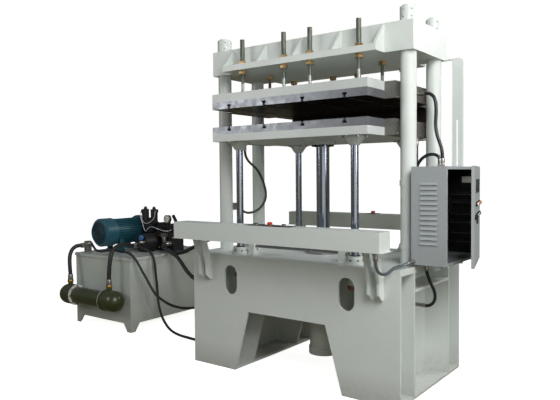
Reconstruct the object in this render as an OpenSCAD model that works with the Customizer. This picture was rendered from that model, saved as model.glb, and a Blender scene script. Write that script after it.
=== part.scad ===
// Four-column up-stroking hydraulic press with heated platens, control bars,
// a switch cabinet and a separate hydraulic power unit. Millimetres, +Z up,
// origin on the floor in the middle of the four anchor holes.

/* [Base] */
// Width of the welded base past the column axes, each side
base_over = 94; // [84:1:104]
// Depth of the welded base
base_d = 1172; // [1100:1:1260]
// Height of the table top above the floor
table_h = 988; // [950:1:1040]
// Thickness of the table plate
table_t = 45; // [35:1:60]
// Thickness of the upright plates of the base
base_plate_t = 20; // [14:1:26]
// Thickness of the foot plates
foot_t = 20; // [14:1:30]
// Width of the trapezoid cut-out at the floor
cutout_floor_w = 1060; // [1000:1:1100]
// Width of the trapezoid cut-out at its top
cutout_top_w = 764; // [700:1:820]
// Height of the trapezoid cut-out
cutout_h = 520; // [440:1:580]
// Width of the round-ended windows in the front and rear plates
window_w = 140; // [110:1:160]
// Height of the round-ended windows
window_h = 250; // [200:1:290]
// Height of the middle of the windows
window_z = 775; // [740:1:785]
// Distance of the two inner ribs from the middle
rib_y = 340; // [325:1:355]
// Distance of the outer webs inward from the column axes
web_in = 123; // [113:1:133]
// Height of the side shelves
shelf_z = 796; // [760:1:820]
// Diameter of the anchor holes
anchor_dia = 26; // [18:1:34]
// Distance of the anchor holes inward from the column axes
anchor_in = 13; // [0:1:30]
// Half the spacing of the anchor holes along the press
anchor_y = 458; // [420:1:490]

/* [Columns] */
// Diameter of the columns
column_dia = 120; // [104:1:124]
// Diameter of the column ends in the table and the crown
column_neck_dia = 90; // [70:1:96]
// Gap between the end covers and the columns
column_gap = 9; // [7:1:14]
// Half the column spacing along the press
column_y = 242; // [225:1:252]
// Free length of the columns from table to crown
column_free = 1594; // [1560:1:1700]
// Diameter of the round column nuts
column_nut_dia = 128; // [118:1:132]
// Height of one round column nut
column_nut_h = 54; // [50:1:72]
// Height of the column end above its nuts
column_end_h = 13; // [6:1:20]
// Diameter of the spanner holes in the column nuts
spanner_dia = 14; // [8:1:18]

/* [Crown] */
// Width of the crown beam past the column axes, each side
crown_over = 75; // [68:1:90]
// Depth of the crown beam
crown_d = 640; // [620:1:670]
// Height of the crown beam
crown_h = 218; // [190:1:260]
// Length of the crown ledges
ledge_w = 1502; // [1420:1:1600]
// Reach of the crown ledges in front of the beam
ledge_out = 137; // [120:1:160]
// Thickness of the crown ledges
ledge_t = 50; // [36:1:60]
// Thickness of the triangular gussets
gusset_t = 20; // [12:1:26]

/* [Platens] */
// Width of the platens
platen_w = 1508; // [1470:1:1520]
// Depth of the platens
platen_d = 1178; // [1150:1:1230]
// Thickness of the heating plates
heating_t = 62; // [54:1:70]
// Thickness of the upper backing plate
upper_backing_t = 68; // [54:1:80]
// Thickness of the lower backing plate
lower_backing_t = 62; // [54:1:80]
// Free space between crown and upper platen
hang_drop = 215; // [190:1:240]
// Free space between the platens at rest
daylight = 152; // [150:1:200]
// Reach of the end covers beside the platens
cover_out = 90; // [60:1:92]
// Depth of the end covers
cover_d = 638; // [560:1:700]
// Sheet thickness of the end covers
cover_wall = 3; // [2:0.5:6]
// Width of a T-slot at the face
slot_w = 22; // [16:1:28]
// Width of a T-slot head
slot_head_w = 40; // [32:1:48]
// Height of a T-slot head
slot_head_h = 16; // [10:1:20]
// Depth of the T-slot neck
slot_neck = 20; // [14:1:24]
// Spacing of the T-slots
slot_pitch = 376; // [340:1:400]

/* [Hanger rods] */
// Diameter of the threaded part of the hanger rods
rod_dia = 40; // [34:1:42]
// Diameter of the plain part of the hanger rods
rod_shank_dia = 27; // [20:1:28]
// Height of the rod tops above the crown underside
rod_rise = 268; // [230:1:300]
// Distance of the outer hanger rods from the middle
rod_x_outer = 575; // [540:1:610]
// Distance of the inner hanger rods from the middle
rod_x_inner = 130; // [90:1:200]
// Distance of the rod rows from the crown face
rod_inset = 70; // [62:1:76]
// Width across flats of the rod nuts
rod_nut_af = 60; // [56:1:62]
// Height of the rod nuts
rod_nut_h = 28; // [20:1:36]

/* [Cylinder] */
// Diameter of the main ram
ram_dia = 115; // [90:1:130]
// Outer diameter of the cylinder barrel
barrel_dia = 245; // [236:1:270]
// Bore of the cylinder barrel
barrel_bore = 190; // [170:1:200]
// Height of the barrel bottom above the floor
barrel_z = 104; // [80:1:110]
// Thickness of the barrel bottom
barrel_floor_t = 40; // [30:1:44]
// Height of the piston
piston_h = 100; // [70:1:120]
// Height of the piston underside at rest
piston_z = 600; // [590:1:640]
// Diameter of the cylinder head flange
head_dia = 330; // [300:1:360]
// Height of the cylinder head flange
head_h = 40; // [30:1:50]
// Diameter of the ram flange under the platen
ram_flange_dia = 220; // [180:1:260]
// Height of the ram flange
ram_flange_h = 30; // [20:1:40]

/* [Guide rods] */
// Diameter of the guide rods
guide_dia = 60; // [50:1:70]
// Distance of the guide rods from the middle across the press
guide_x = 570; // [560:1:590]
// Distance of the guide rods from the middle along the press
guide_y = 450; // [440:1:470]
// Height of the guide rod ends at rest
guide_end_z = 800; // [790:1:815]
// Diameter of the guide rod hubs at the platen
guide_hub_dia = 150; // [120:1:170]
// Height of the guide rod hubs
guide_hub_h = 70; // [40:1:90]
// Outer diameter of the guide sleeves
sleeve_dia = 110; // [96:1:116]
// Length of the guide sleeves below the table
sleeve_drop = 115; // [100:1:125]
// Diameter of the guide sleeve flanges
sleeve_flange_dia = 140; // [124:1:150]
// Height of the guide sleeve flanges
sleeve_flange_h = 25; // [16:1:34]

/* [Control bars] */
// Length of the control bars past the column axes, each side
bar_over = 67; // [50:1:80]
// Depth of the control bars
bar_d = 160; // [130:1:180]
// Height of the control bars
bar_h = 142; // [120:1:160]
// Height of the underside of the control bars
bar_z = 1135; // [1110:1:1160]
// Gap between the base and the front bar
front_gap = 104; // [80:1:140]
// Gap between the base and the rear bar
rear_gap = 264; // [220:1:300]
// Sheet thickness of the control bars
bar_wall = 5; // [3:0.5:8]
// Reach of the floor sheet of the bar past its ends
bar_lip = 20; // [10:1:30]
// Width of the black button panel
panel_w = 420; // [360:1:480]
// Depth of the black button panel
panel_d = 110; // [80:1:124]
// Thickness of the black button panel
panel_t = 4; // [3:0.5:8]
// Distance of the push buttons from the stop button
button_x = 135; // [90:1:170]
// Diameter of the button stems
stem_dia = 22; // [16:1:28]
// Diameter of the stop button head
stop_dia = 42; // [34:1:60]
// Diameter of the push button heads
button_dia = 32; // [30:1:44]
// Free travel below the button heads
button_gap = 6; // [5:0.5:10]
// Distance of the bar brackets inward from the column axes
bracket_in = 83; // [60:1:100]
// Thickness of the bracket arms
bracket_t = 20; // [12:1:28]
// Width of the bracket foot
bracket_w = 100; // [90:1:130]
// Thickness of the bracket foot
bracket_foot_t = 14; // [8:1:20]
// Height of the bracket underside
bracket_z = 765; // [740:1:790]
// Height of the bracket foot
bracket_h = 200; // [180:1:220]
// Width of the bracket arm
bracket_arm = 70; // [50:1:76]

/* [Cross shaft] */
// Diameter of the cross shaft
shaft_dia = 25; // [18:1:34]
// Height of the cross shaft above the table
shaft_rise = 72; // [60:1:80]
// Distance of the shaft in front of the middle
shaft_y = 420; // [400:1:440]
// Distance of the shaft blocks from the middle
block_x = 450; // [420:1:460]
// Width of a shaft block
block_w = 60; // [44:1:64]
// Height of a shaft block
block_h = 100; // [96:1:120]

/* [Cabinet] */
// Depth of the cabinet across the press
cabinet_d = 265; // [220:1:300]
// Width of the cabinet along the press
cabinet_w = 634; // [610:1:640]
// Height of the cabinet
cabinet_h = 714; // [690:1:760]
// Height of the cabinet underside
cabinet_z = 1007; // [1000:1:1040]
// Distance of the cabinet back from the columns
cabinet_gap = 17; // [14:1:40]
// Place of the cabinet front side wall along the press
cabinet_y = -364; // [-370:1:-350]
// Sheet thickness of the cabinet
cabinet_wall = 3; // [2:0.5:5]
// Width of the folded rim round the opening
cabinet_rim = 22; // [14:1:30]
// Number of louvres
louvre_count = 13; // [6:1:14]
// Spacing of the louvres
louvre_pitch = 36; // [30:1:40]
// Length of a louvre
louvre_w = 130; // [90:1:180]
// Reach of a louvre from the wall
louvre_out = 9; // [6:1:12]
// Height of a louvre
louvre_h = 16; // [12:1:22]
// Height of the lowest louvre above the cabinet floor
louvre_z = 150; // [100:1:180]
// Thickness of the door
door_t = 22; // [16:1:30]
// Opening angle of the door at rest
door_open = 15; // [5:1:60]
// Distance of the hinge line from the door edge
hinge_out = 8; // [7:0.5:12]
// Diameter of the hinge pins
hinge_pin_dia = 8; // [6:0.5:9]
// Height of a hinge knuckle
knuckle_h = 40; // [30:1:60]
// Width of the column clamps
clamp_w = 40; // [30:1:60]
// Wall of the column clamps
clamp_wall = 6; // [4:0.5:7]

/* [Switch rail] */
// Width of the switch rail
rail_w = 85; // [60:1:100]
// Depth of the switch rail
rail_d = 26; // [16:1:30]
// Sheet thickness of the switch rail
rail_t = 4; // [3:0.5:6]
// Rise of the switch rail past the underside of the crown
rail_rise = 12; // [8:1:30]
// Radius of the upper outer corner of the switch rail
rail_corner = 35; // [20:1:45]
// Distance of the switch rail from the crown end
rail_gap = 60; // [45:1:80]
// Place of the switch rail along the press
rail_y = 292; // [291:1:300]
// Height of the rail slot top below the crown
rail_slot_drop = 484; // [400:1:560]
// Length of the rail slot
rail_slot_h = 900; // [600:1:1000]
// Width of the rail slot
rail_slot_w = 12; // [8:1:18]

/* [Power unit] */
// Length of the oil tank across the press
tank_w = 950; // [900:1:1000]
// Depth of the oil tank along the press
tank_d = 1150; // [1100:1:1200]
// Height of the tank body
tank_h = 680; // [640:1:720]
// Height of the tank feet
tank_foot_h = 90; // [60:1:120]
// Sheet thickness of the tank
tank_wall = 6; // [4:0.5:10]
// Thickness of the tank lid
lid_t = 30; // [20:1:40]
// Overhang of the tank lid
lid_over = 10; // [4:1:20]
// Gap between the press base and the tank
tank_gap = 1233; // [1200:1:1260]
// Place of the tank front along the press
tank_y = -300; // [-310:1:-290]
// Diameter of the motor over its fins
motor_dia = 300; // [270:1:310]
// Length of the finned motor body
motor_len = 430; // [400:1:450]
// Height of the motor shaft above the lid
motor_rise = 225; // [200:1:240]
// Diameter of the fan cowl
cowl_dia = 326; // [318:1:334]
// Length of the fan cowl
cowl_len = 165; // [140:1:180]
// Height of the motor fins
fin_h = 18; // [10:1:24]
// Diameter of the motor flange
motor_flange_dia = 350; // [330:1:370]
// Diameter of the oil cooler shell
cooler_dia = 176; // [160:1:186]
// Diameter of the cooler end bonnets
bonnet_dia = 222; // [210:1:230]
// Length of one cooler bonnet
bonnet_len = 245; // [235:1:255]
// Overall length of the cooler
cooler_len = 1005; // [990:1:1020]
// Height of the middle of the cooler
cooler_z = 350; // [330:1:370]
// Gap between the cooler flanges and the tank front
cooler_gap = 11; // [8:0.5:14]
// Width of the cooler flange rims past the bonnets
cooler_rim = 4; // [2:1:8]
// Distance of the cooler end outside the tank side
cooler_over = 60; // [50:1:70]
// Distance of the motor axis from the tank side
motor_in_x = 230; // [220:1:240]
// Distance of the motor body from the tank front
motor_in_y = 315; // [300:1:330]
// Diameter of the circulation pump
aux_pump_dia = 210; // [190:1:220]
// Length of the circulation pump
aux_pump_len = 180; // [150:1:200]
// Distance of the circulation pump axis from the tank side
aux_pump_in_x = 630; // [600:1:650]
// Distance of the circulation pump from the tank front
aux_pump_in_y = 430; // [410:1:440]
// Width of the valve manifold
manifold_w = 440; // [420:1:460]
// Depth of the valve manifold
manifold_d = 160; // [150:1:180]
// Height of the valve manifold
manifold_h = 210; // [190:1:230]
// Distance of the valve manifold from the tank side
manifold_in_x = 470; // [465:1:480]
// Distance of the valve manifold from the tank front
manifold_in_y = 670; // [660:1:690]
// Width of the return block on the lid
return_block_w = 60; // [50:1:70]
// Height of the return block on the lid
return_block_h = 130; // [110:1:150]

/* [Hidden] */
// Face gap of pieces that do not move against each other
seat_gap = 0.3;
// Radial clearance of sliding rods and pins
slide_gap = 0.05;
// Overlap of cutting shapes past a face
cut = 1;

// Heights of the stack from the floor to the crown
table_under_z = table_h - table_t;
crown_z = table_h + column_free;
crown_top_z = crown_z + crown_h;
upper_top_z = crown_z - hang_drop;
upper_heat_z = upper_top_z - upper_backing_t;
upper_z = upper_heat_z - heating_t;
lower_top_z = upper_z - daylight;
lower_heat_z = lower_top_z - heating_t;
lower_z = lower_heat_z - lower_backing_t;

// Plan lines of the base
base_in_y = base_d / 2 - base_plate_t;
rib_in_y = rib_y - base_plate_t / 2;
rib_out_y = rib_y + base_plate_t / 2;
leg_bays = [[-base_in_y, -rib_out_y], [-rib_in_y, rib_in_y], [rib_out_y, base_in_y]];
column_x = platen_w / 2 + cover_out + column_gap + column_dia / 2;
base_w = 2 * (column_x + base_over);
crown_w = 2 * (column_x + crown_over);
bar_w = 2 * (column_x + bar_over);
bracket_x = column_x - bracket_in;
anchor_x = column_x - anchor_in;
web_x = column_x - web_in;
web_out_x = web_x + base_plate_t / 2;
window_x = guide_x;

// Lines of the hanger rods
rod_y = crown_d / 2 + rod_inset;
side_rods = [for (x = [-rod_x_outer, -rod_x_inner, rod_x_inner, rod_x_outer])
    for (y = [-rod_y, rod_y]) [x, y]];
middle_rods = [[-rod_x_outer, 0], [rod_x_outer, 0]];
column_places = [for (x = [-column_x, column_x]) for (y = [-column_y, column_y]) [x, y]];
guide_places = [for (x = [-guide_x, guide_x]) for (y = [-guide_y, guide_y]) [x, y]];

// Lines of the control bars
front_bar_y = -base_d / 2 - front_gap - bar_d;
rear_bar_y = base_d / 2 + rear_gap;
bar_top_z = bar_z + bar_h;

// Lines of the cabinet
cabinet_x = column_x + column_dia / 2 + cabinet_gap;
cabinet_front_x = cabinet_x + cabinet_d;
cabinet_far_y = cabinet_y + cabinet_w;
door_x = cabinet_front_x + 2;
hinge_y = cabinet_far_y + hinge_out;
cabinet_top_z = cabinet_z + cabinet_h;
clamp_levels = [cabinet_z + 120, cabinet_z + cabinet_h - 120];

// Lines of the power unit
tank_x = -base_w / 2 - tank_gap - tank_w;
tank_top_z = tank_foot_h + tank_h;
lid_z = tank_top_z + lid_t;
motor_x = tank_x + motor_in_x;
motor_y = tank_y + motor_in_y;
motor_z = lid_z + motor_rise;
motor_end_y = motor_y + motor_len;
aux_pump_x = tank_x + aux_pump_in_x;
aux_pump_y = tank_y + aux_pump_in_y;
aux_pump_z = lid_z + aux_pump_dia / 2;
manifold_x = tank_x + manifold_in_x;
manifold_y = tank_y + manifold_in_y;
manifold_top_z = lid_z + manifold_h;
cooler_y = tank_y - cooler_gap - cooler_rim - bonnet_dia / 2;
cooler_x = tank_x - cooler_over;

// Diameters of the hoses and cables
thin_hose_dia = 27;
thick_hose_dia = 42;
cooler_hose_dia = 45;
conduit_dia = 27;
cable_dia = 25;
thin_cable_dia = 23;

// Lengths of the hose and cable fittings
hose_fitting_len = 60;
block_fitting_len = 30;
gland_len = 35;

// Routes of the hoses and cables, ends first and last, drawn for one column spacing and moved with it
route_column_x = 913;
route_shift = column_x - route_column_x;
function moved(x, route) = [for (point = route) point + [x, 0, 0]];
cooler_left_route = moved(-route_shift,
    [[-3120, -426, 510], [-3120, -426, 570], [-3130, -424, 640], [-3144, -417, 715],
    [-3152, -403, 790], [-3150, -370, 850], [-3138, -325, 880], [-3116, -280, 885], [-3100, -255, 885],
    [-3100, -230, 885]]);
cooler_right_route = moved(-route_shift,
    [[-2430, -426, 515], [-2430, -426, 600], [-2425, -424, 690], [-2420, -415, 780],
    [-2425, -390, 858], [-2440, -330, 905], [-2460, -240, 925], [-2500, -140, 920], [-2555, -40, 900],
    [-2590, 20, 883], [-2600, 60, 880], [-2600, 100, 880]]);
lead_route = moved(-route_shift,
    [[-3070, -200, 900], [-3045, -200, 900], [-3005, -206, 886], [-2950, -225, 862], [-2880, -250, 843],
    [-2790, -265, 836], [-2700, -268, 848], [-2620, -268, 860], [-2540, -270, 864], [-2460, -275, 862],
    [-2380, -280, 860], [-2300, -280, 857], [-2240, -278, 836], [-2180, -275, 792], [-2120, -270, 722],
    [-2075, -262, 655], [-2030, -250, 590], [-1990, -240, 525], [-1950, -230, 465], [-1905, -215, 418],
    [-1850, -195, 378], [-1785, -160, 338], [-1720, -125, 315], [-1650, -95, 306], [-1550, -60, 315],
    [-1440, -45, 338], [-1330, -40, 362], [-1220, -40, 382], [-1100, -40, 395], [-1000, -40, 400],
    [-910, -40, 400], [-860, -40, 400]]);
floor_route = moved(-route_shift,
    [[-2500, 100, 920], [-2500, 70, 920], [-2482, 25, 908], [-2440, -5, 893], [-2385, -20, 880],
    [-2320, -22, 866], [-2260, -20, 848], [-2205, -15, 806], [-2180, -12, 735], [-2172, -8, 660],
    [-2166, -5, 580], [-2160, 0, 500], [-2152, 0, 420], [-2140, -5, 340], [-2115, -15, 262],
    [-2075, -28, 190], [-2020, -42, 128], [-1955, -58, 80], [-1880, -75, 45], [-1790, -92, 25],
    [-1690, -105, 16], [-1580, -118, 15], [-1460, -130, 15], [-1330, -134, 15], [-1230, -128, 25],
    [-1150, -120, 50], [-1085, -110, 88], [-1020, -103, 122], [-965, -100, 144], [-910, -100, 150],
    [-860, -100, 150]]);
table_route = moved(-route_shift,
    [[-2400, 338, 965], [-2400, 338, 930], [-2393, 328, 890], [-2367, 311, 858], [-2320, 290, 838],
    [-2265, 268, 830], [-2200, 245, 824], [-2130, 222, 812], [-2050, 200, 815], [-1960, 178, 830],
    [-1860, 155, 858], [-1760, 130, 893], [-1660, 105, 930], [-1570, 85, 965], [-1480, 65, 998],
    [-1390, 48, 1025], [-1300, 35, 1043], [-1210, 22, 1052], [-1120, 10, 1046], [-1040, 2, 1034],
    [-980, 0, 1030], [-930, 0, 1030]]);
feed_route = moved(-route_shift,
    [[-2330, 340, 890], [-2330, 300, 890], [-2314, 245, 884], [-2277, 203, 873], [-2225, 175, 862],
    [-2165, 163, 848], [-2105, 156, 830], [-2045, 149, 810], [-1980, 139, 785], [-1905, 120, 740],
    [-1828, 98, 688], [-1745, 75, 640], [-1659, 55, 604], [-1560, 40, 580], [-1450, 30, 572],
    [-1330, 25, 580], [-1210, 22, 602], [-1100, 20, 632], [-1000, 20, 664], [-925, 20, 680],
    [-860, 20, 680]]);
upper_cable_route = moved(route_shift,
    [[890, 50, 2300], [930, 50, 2300], [965, 48, 2292], [995, 45, 2265], [1010, 42, 2225],
    [1015, 40, 2175], [1015, 38, 2120], [1013, 36, 2070], [1016, 34, 2020], [1028, 30, 1970],
    [1045, 26, 1925], [1062, 22, 1880], [1072, 20, 1835], [1075, 20, 1790], [1075, 20, 1756]]);
lower_cable_route = moved(route_shift,
    [[1075, -35, 1756], [1075, -35, 1775], [1068, -35, 1795], [1050, -35, 1810], [1020, -35, 1818],
    [985, -35, 1815], [950, -35, 1800], [920, -35, 1775], [895, -35, 1738], [876, -33, 1690],
    [862, -26, 1630], [852, -10, 1572], [842, 22, 1530], [832, 65, 1510], [822, 108, 1522],
    [812, 142, 1560], [805, 160, 1612], [800, 165, 1680], [800, 165, 1760], [800, 165, 1850],
    [800, 165, 1926]]);
base_cable_route = moved(route_shift,
    [[1040, -200, 972], [1040, -200, 942], [1045, -188, 904], [1052, -170, 864], [1060, -148, 824],
    [1067, -127, 788], [1070, -112, 750], [1064, -103, 712], [1046, -97, 680], [1018, -95, 660],
    [990, -95, 655], [960, -95, 655]]);
bar_cable_route = moved(route_shift,
    [[912, -770, 1100], [912, -770, 1065], [913, -763, 1030], [917, -748, 1000], [925, -725, 981],
    [934, -695, 973], [943, -660, 975], [950, -625, 988], [957, -590, 1003], [963, -545, 1008],
    [972, -490, 1010], [990, -455, 1018], [1005, -430, 1027], [1010, -415, 1030], [1010, -399, 1030]]);
platen_cable_route = moved(-route_shift,
    [[-800, -100, 1926], [-800, -100, 1890], [-800, -88, 1850], [-800, -60, 1815], [-800, -20, 1785],
    [-800, 35, 1755], [-800, 90, 1715], [-800, 140, 1660], [-800, 180, 1595], [-800, 206, 1530],
    [-800, 213, 1475], [-802, 203, 1428], [-808, 168, 1380], [-818, 115, 1340], [-830, 55, 1318],
    [-842, 0, 1312], [-853, -50, 1322], [-862, -90, 1348], [-868, -118, 1370], [-870, -140, 1382],
    [-870, -160, 1382]]);

// Colours of the finishes
paint = "#dfe4e2";
steel = "#a7a5a8";
chrome = "#d8dbe0";
black = "#1d1e21";

// Box from its corners
module box(low, high) {
    translate(low) cube(high - low);
}

// Plate that stands across the press, drawn in X and Z
module plate_xz(y_low, thickness) {
    translate([0, y_low + thickness, 0]) rotate([90, 0, 0]) linear_extrude(thickness) children();
}

// Plate that stands along the press, drawn in Y and Z
module plate_yz(x_low, thickness) {
    translate([x_low, 0, 0]) rotate([90, 0, 90]) linear_extrude(thickness) children();
}

// Round bar along Y
module bar_y(dia, y_low, y_high, x, z) {
    translate([x, y_low, z]) rotate([-90, 0, 0]) cylinder(h = y_high - y_low, d = dia, $fn = 64);
}

// Round bar along X
module bar_x(dia, x_low, x_high, y, z) {
    translate([x_low, y, z]) rotate([0, 90, 0]) cylinder(h = x_high - x_low, d = dia, $fn = 64);
}

// Sweep of a round tube along a route of points
function unit(v) = v / norm(v);
function last(list) = len(list) - 1;
function tangent(route, i) = unit(route[min(i + 1, last(route))] - route[max(i - 1, 0)]);
function square_to(v, t) = unit(v - (v * t) * t);
function side_of(t) = square_to(abs(t[2]) > 0.8 ? [1, 0, 0] : [0, 0, 1], t);
function sides(route, i = 0, side = undef) = i > last(route) ? [] :
    let (t = tangent(route, i), s = side == undef ? side_of(t) : square_to(side, t))
    concat([s], sides(route, i + 1, s));

module tube(route, dia, corners = 8) {
    frames = sides(route);
    rings = [for (i = [0 : last(route)]) for (k = [0 : corners - 1])
        let (t = tangent(route, i), s = frames[i], u = cross(t, s), a = 360 * k / corners)
        route[i] + dia / 2 * (cos(a) * s + sin(a) * u)];
    walls = [for (i = [0 : last(route) - 1]) for (k = [0 : corners - 1])
        let (a = i * corners + k, b = i * corners + (k + 1) % corners)
        [[a, a + corners, b + corners], [a, b + corners, b]]];
    start_cap = [for (k = [0 : corners - 1]) k];
    end_cap = [for (k = [0 : corners - 1]) last(route) * corners + corners - 1 - k];
    polyhedron(rings, concat([for (pair = walls) for (face = pair) face], [start_cap, end_cap]),
        convexity = 8);
}

// Inner edge of the legs at a height
function leg_edge(z) = cutout_floor_w / 2 - (cutout_floor_w - cutout_top_w) / 2 * z / cutout_h;

// Outline of an upright base plate with its trapezoid cut-out
module arch(z_low, z_high) {
    polygon([[-base_w / 2, z_low], [-leg_edge(z_low), z_low], [-cutout_top_w / 2, cutout_h],
        [cutout_top_w / 2, cutout_h], [leg_edge(z_low), z_low], [base_w / 2, z_low],
        [base_w / 2, z_high], [-base_w / 2, z_high]]);
}

module window() {
    for (end = [-1, 1]) {
        translate([0, end * (window_h - window_w) / 2]) circle(d = window_w, $fn = 64);
    }
    square([window_w, window_h - window_w], center = true);
}

module outer_plate(y_low) {
    color(paint) plate_xz(y_low, base_plate_t) difference() {
        arch(0, table_h);
        for (x = [-window_x, window_x]) {
            translate([x, window_z]) window();
        }
    }
}

module base_front_plate() {
    outer_plate(-base_d / 2);
}

module base_rear_plate() {
    outer_plate(base_d / 2 - base_plate_t);
}

module base_ribs() {
    color(paint) for (y = [-rib_out_y, rib_in_y]) {
        plate_xz(y, base_plate_t) arch(foot_t, table_under_z);
    }
}

module leg() {
    difference() {
        box([cutout_floor_w / 2, -base_in_y, 0], [base_w / 2, base_in_y, foot_t]);
        for (y = [-anchor_y, anchor_y]) {
            translate([anchor_x, y, -cut]) cylinder(h = foot_t + 2 * cut, d = anchor_dia, $fn = 48);
        }
    }
    for (bay = leg_bays) {
        box([web_x - base_plate_t / 2, bay[0], foot_t], [web_out_x, bay[1], table_under_z]);
    }
    box([web_out_x, -rib_in_y, shelf_z], [base_w / 2, rib_in_y, shelf_z + base_plate_t]);
}

module base_leg_left() {
    color(paint) mirror([1, 0, 0]) leg();
}

module base_leg_right() {
    color(paint) leg();
}

module table_plate() {
    color(paint) difference() {
        box([-base_w / 2, -base_in_y, table_under_z], [base_w / 2, base_in_y, table_h]);
        for (p = column_places) {
            translate([p[0], p[1], table_under_z - cut])
                cylinder(h = table_t + 2 * cut, d = column_neck_dia + 2 * seat_gap, $fn = 64);
        }
        for (p = guide_places) {
            translate([p[0], p[1], table_under_z - cut])
                cylinder(h = table_t + 2 * cut, d = sleeve_dia + 2 * seat_gap, $fn = 64);
        }
        translate([0, 0, table_under_z - cut])
            cylinder(h = table_t + 2 * cut, d = barrel_dia + 2 * seat_gap, $fn = 64);
    }
}

module columns() {
    neck_low_z = table_under_z - column_nut_h - column_end_h;
    neck_high_z = crown_top_z + 2 * column_nut_h + seat_gap + column_end_h;
    color(paint) for (p = column_places) {
        translate([p[0], p[1], neck_low_z])
            cylinder(h = neck_high_z - neck_low_z, d = column_neck_dia, $fn = 64);
        translate([p[0], p[1], table_h]) cylinder(h = column_free, d = column_dia, $fn = 64);
    }
}

// Round nut with a ring of spanner holes
module round_nut() {
    difference() {
        cylinder(h = column_nut_h, d = column_nut_dia, $fn = 64);
        translate([0, 0, -cut])
            cylinder(h = column_nut_h + 2 * cut, d = column_neck_dia + 2 * seat_gap, $fn = 64);
        for (a = [0 : 60 : 300]) {
            rotate([0, 0, a + 15]) translate([column_nut_dia / 2 - 12, 0, column_nut_h / 2])
                rotate([0, 90, 0]) cylinder(h = 20, d = spanner_dia, $fn = 24);
        }
    }
}

module column_nuts() {
    color(paint) for (p = column_places) {
        translate([p[0], p[1], crown_top_z]) round_nut();
        translate([p[0], p[1], crown_top_z + column_nut_h + seat_gap]) round_nut();
        translate([p[0], p[1], table_under_z - column_nut_h]) round_nut();
    }
}

module crown_beam() {
    color(paint) difference() {
        box([-crown_w / 2, -crown_d / 2, crown_z], [crown_w / 2, crown_d / 2, crown_top_z]);
        for (p = column_places) {
            translate([p[0], p[1], crown_z - cut])
                cylinder(h = crown_h + 2 * cut, d = column_neck_dia + 2 * seat_gap, $fn = 64);
        }
    }
}

// Ledge in front of the crown with five gussets
module ledge() {
    gusset_pitch = (ledge_w - gusset_t) / 4;
    difference() {
        box([-ledge_w / 2, 0, crown_z], [ledge_w / 2, ledge_out, crown_z + ledge_t]);
        for (x = [-rod_x_outer, -rod_x_inner, rod_x_inner, rod_x_outer]) {
            translate([x, rod_inset, crown_z - cut])
                cylinder(h = ledge_t + 2 * cut, d = rod_dia + 2 * seat_gap, $fn = 48);
        }
    }
    for (i = [0 : 4]) {
        plate_yz(-ledge_w / 2 + i * gusset_pitch, gusset_t)
            polygon([[0, crown_z + ledge_t], [ledge_out, crown_z + ledge_t], [0, crown_top_z]]);
    }
}

module crown_ledges() {
    color(paint) for (side = [0, 1]) {
        mirror([0, side, 0]) translate([0, crown_d / 2, 0]) ledge();
    }
}

// Outline of a T-slot that opens at height 0 and runs upward
module slot_outline() {
    polygon([[-slot_w / 2, -cut], [slot_w / 2, -cut], [slot_w / 2, slot_neck], [slot_head_w / 2, slot_neck],
        [slot_head_w / 2, slot_neck + slot_head_h], [-slot_head_w / 2, slot_neck + slot_head_h],
        [-slot_head_w / 2, slot_neck], [-slot_w / 2, slot_neck]]);
}

// Heating plate with four T-slots in its underside
module heating_plate() {
    plate_xz(-platen_d / 2, platen_d) difference() {
        translate([-platen_w / 2, 0]) square([platen_w, heating_t]);
        for (i = [-1.5, -0.5, 0.5, 1.5]) {
            translate([i * slot_pitch, 0]) slot_outline();
        }
    }
}

// Pair of sheet covers over the heater ends
module end_covers(z_low, z_high) {
    for (side = [0, 1]) {
        mirror([side, 0, 0]) difference() {
            box([platen_w / 2, -cover_d / 2, z_low], [platen_w / 2 + cover_out, cover_d / 2, z_high]);
            box([platen_w / 2 - cut, -cover_d / 2 + cover_wall, z_low + cover_wall],
                [platen_w / 2 + cover_out - cover_wall, cover_d / 2 - cover_wall, z_high - cover_wall]);
        }
    }
}

module upper_backing_plate() {
    color(paint) box([-platen_w / 2, -platen_d / 2, upper_heat_z], [platen_w / 2, platen_d / 2, upper_top_z]);
}

module upper_heating_plate() {
    color(steel) translate([0, 0, upper_z]) heating_plate();
}

module upper_end_covers() {
    color(steel) end_covers(upper_z, upper_top_z);
}

module lower_backing_plate() {
    color(paint) box([-platen_w / 2, -platen_d / 2, lower_z], [platen_w / 2, platen_d / 2, lower_heat_z]);
}

module lower_heating_plate() {
    color(steel) translate([0, 0, lower_top_z]) mirror([0, 0, 1]) heating_plate();
}

module lower_end_covers() {
    color(steel) end_covers(lower_z, lower_top_z);
}

module hanger_rods() {
    thread_z = crown_z - 1.5 * rod_nut_h;
    color("#55514c") for (p = side_rods) {
        translate([p[0], p[1], thread_z]) cylinder(h = crown_z + rod_rise - thread_z, d = rod_dia, $fn = 48);
        translate([p[0], p[1], upper_top_z]) cylinder(h = thread_z - upper_top_z, d = rod_shank_dia,
            $fn = 48);
    }
    color("#55514c") for (p = middle_rods) {
        translate([p[0], p[1], upper_top_z]) cylinder(h = hang_drop, d = rod_shank_dia, $fn = 48);
    }
}

// Hexagon nut round a rod
module hex_nut(bore) {
    difference() {
        cylinder(h = rod_nut_h, d = rod_nut_af / cos(30), $fn = 6);
        translate([0, 0, -cut]) cylinder(h = rod_nut_h + 2 * cut, d = bore + 2 * seat_gap, $fn = 48);
    }
}

module hanger_nuts() {
    color("#c9a54a") for (p = side_rods) {
        translate([p[0], p[1], crown_z + ledge_t]) hex_nut(rod_dia);
        translate([p[0], p[1], crown_z - rod_nut_h]) hex_nut(rod_dia);
    }
    color("#c9a54a") for (p = middle_rods) {
        translate([p[0], p[1], crown_z - rod_nut_h]) hex_nut(rod_shank_dia);
    }
    color("#c9a54a") for (p = concat(side_rods, middle_rods)) {
        translate([p[0], p[1], upper_top_z]) hex_nut(rod_shank_dia);
    }
}

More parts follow.
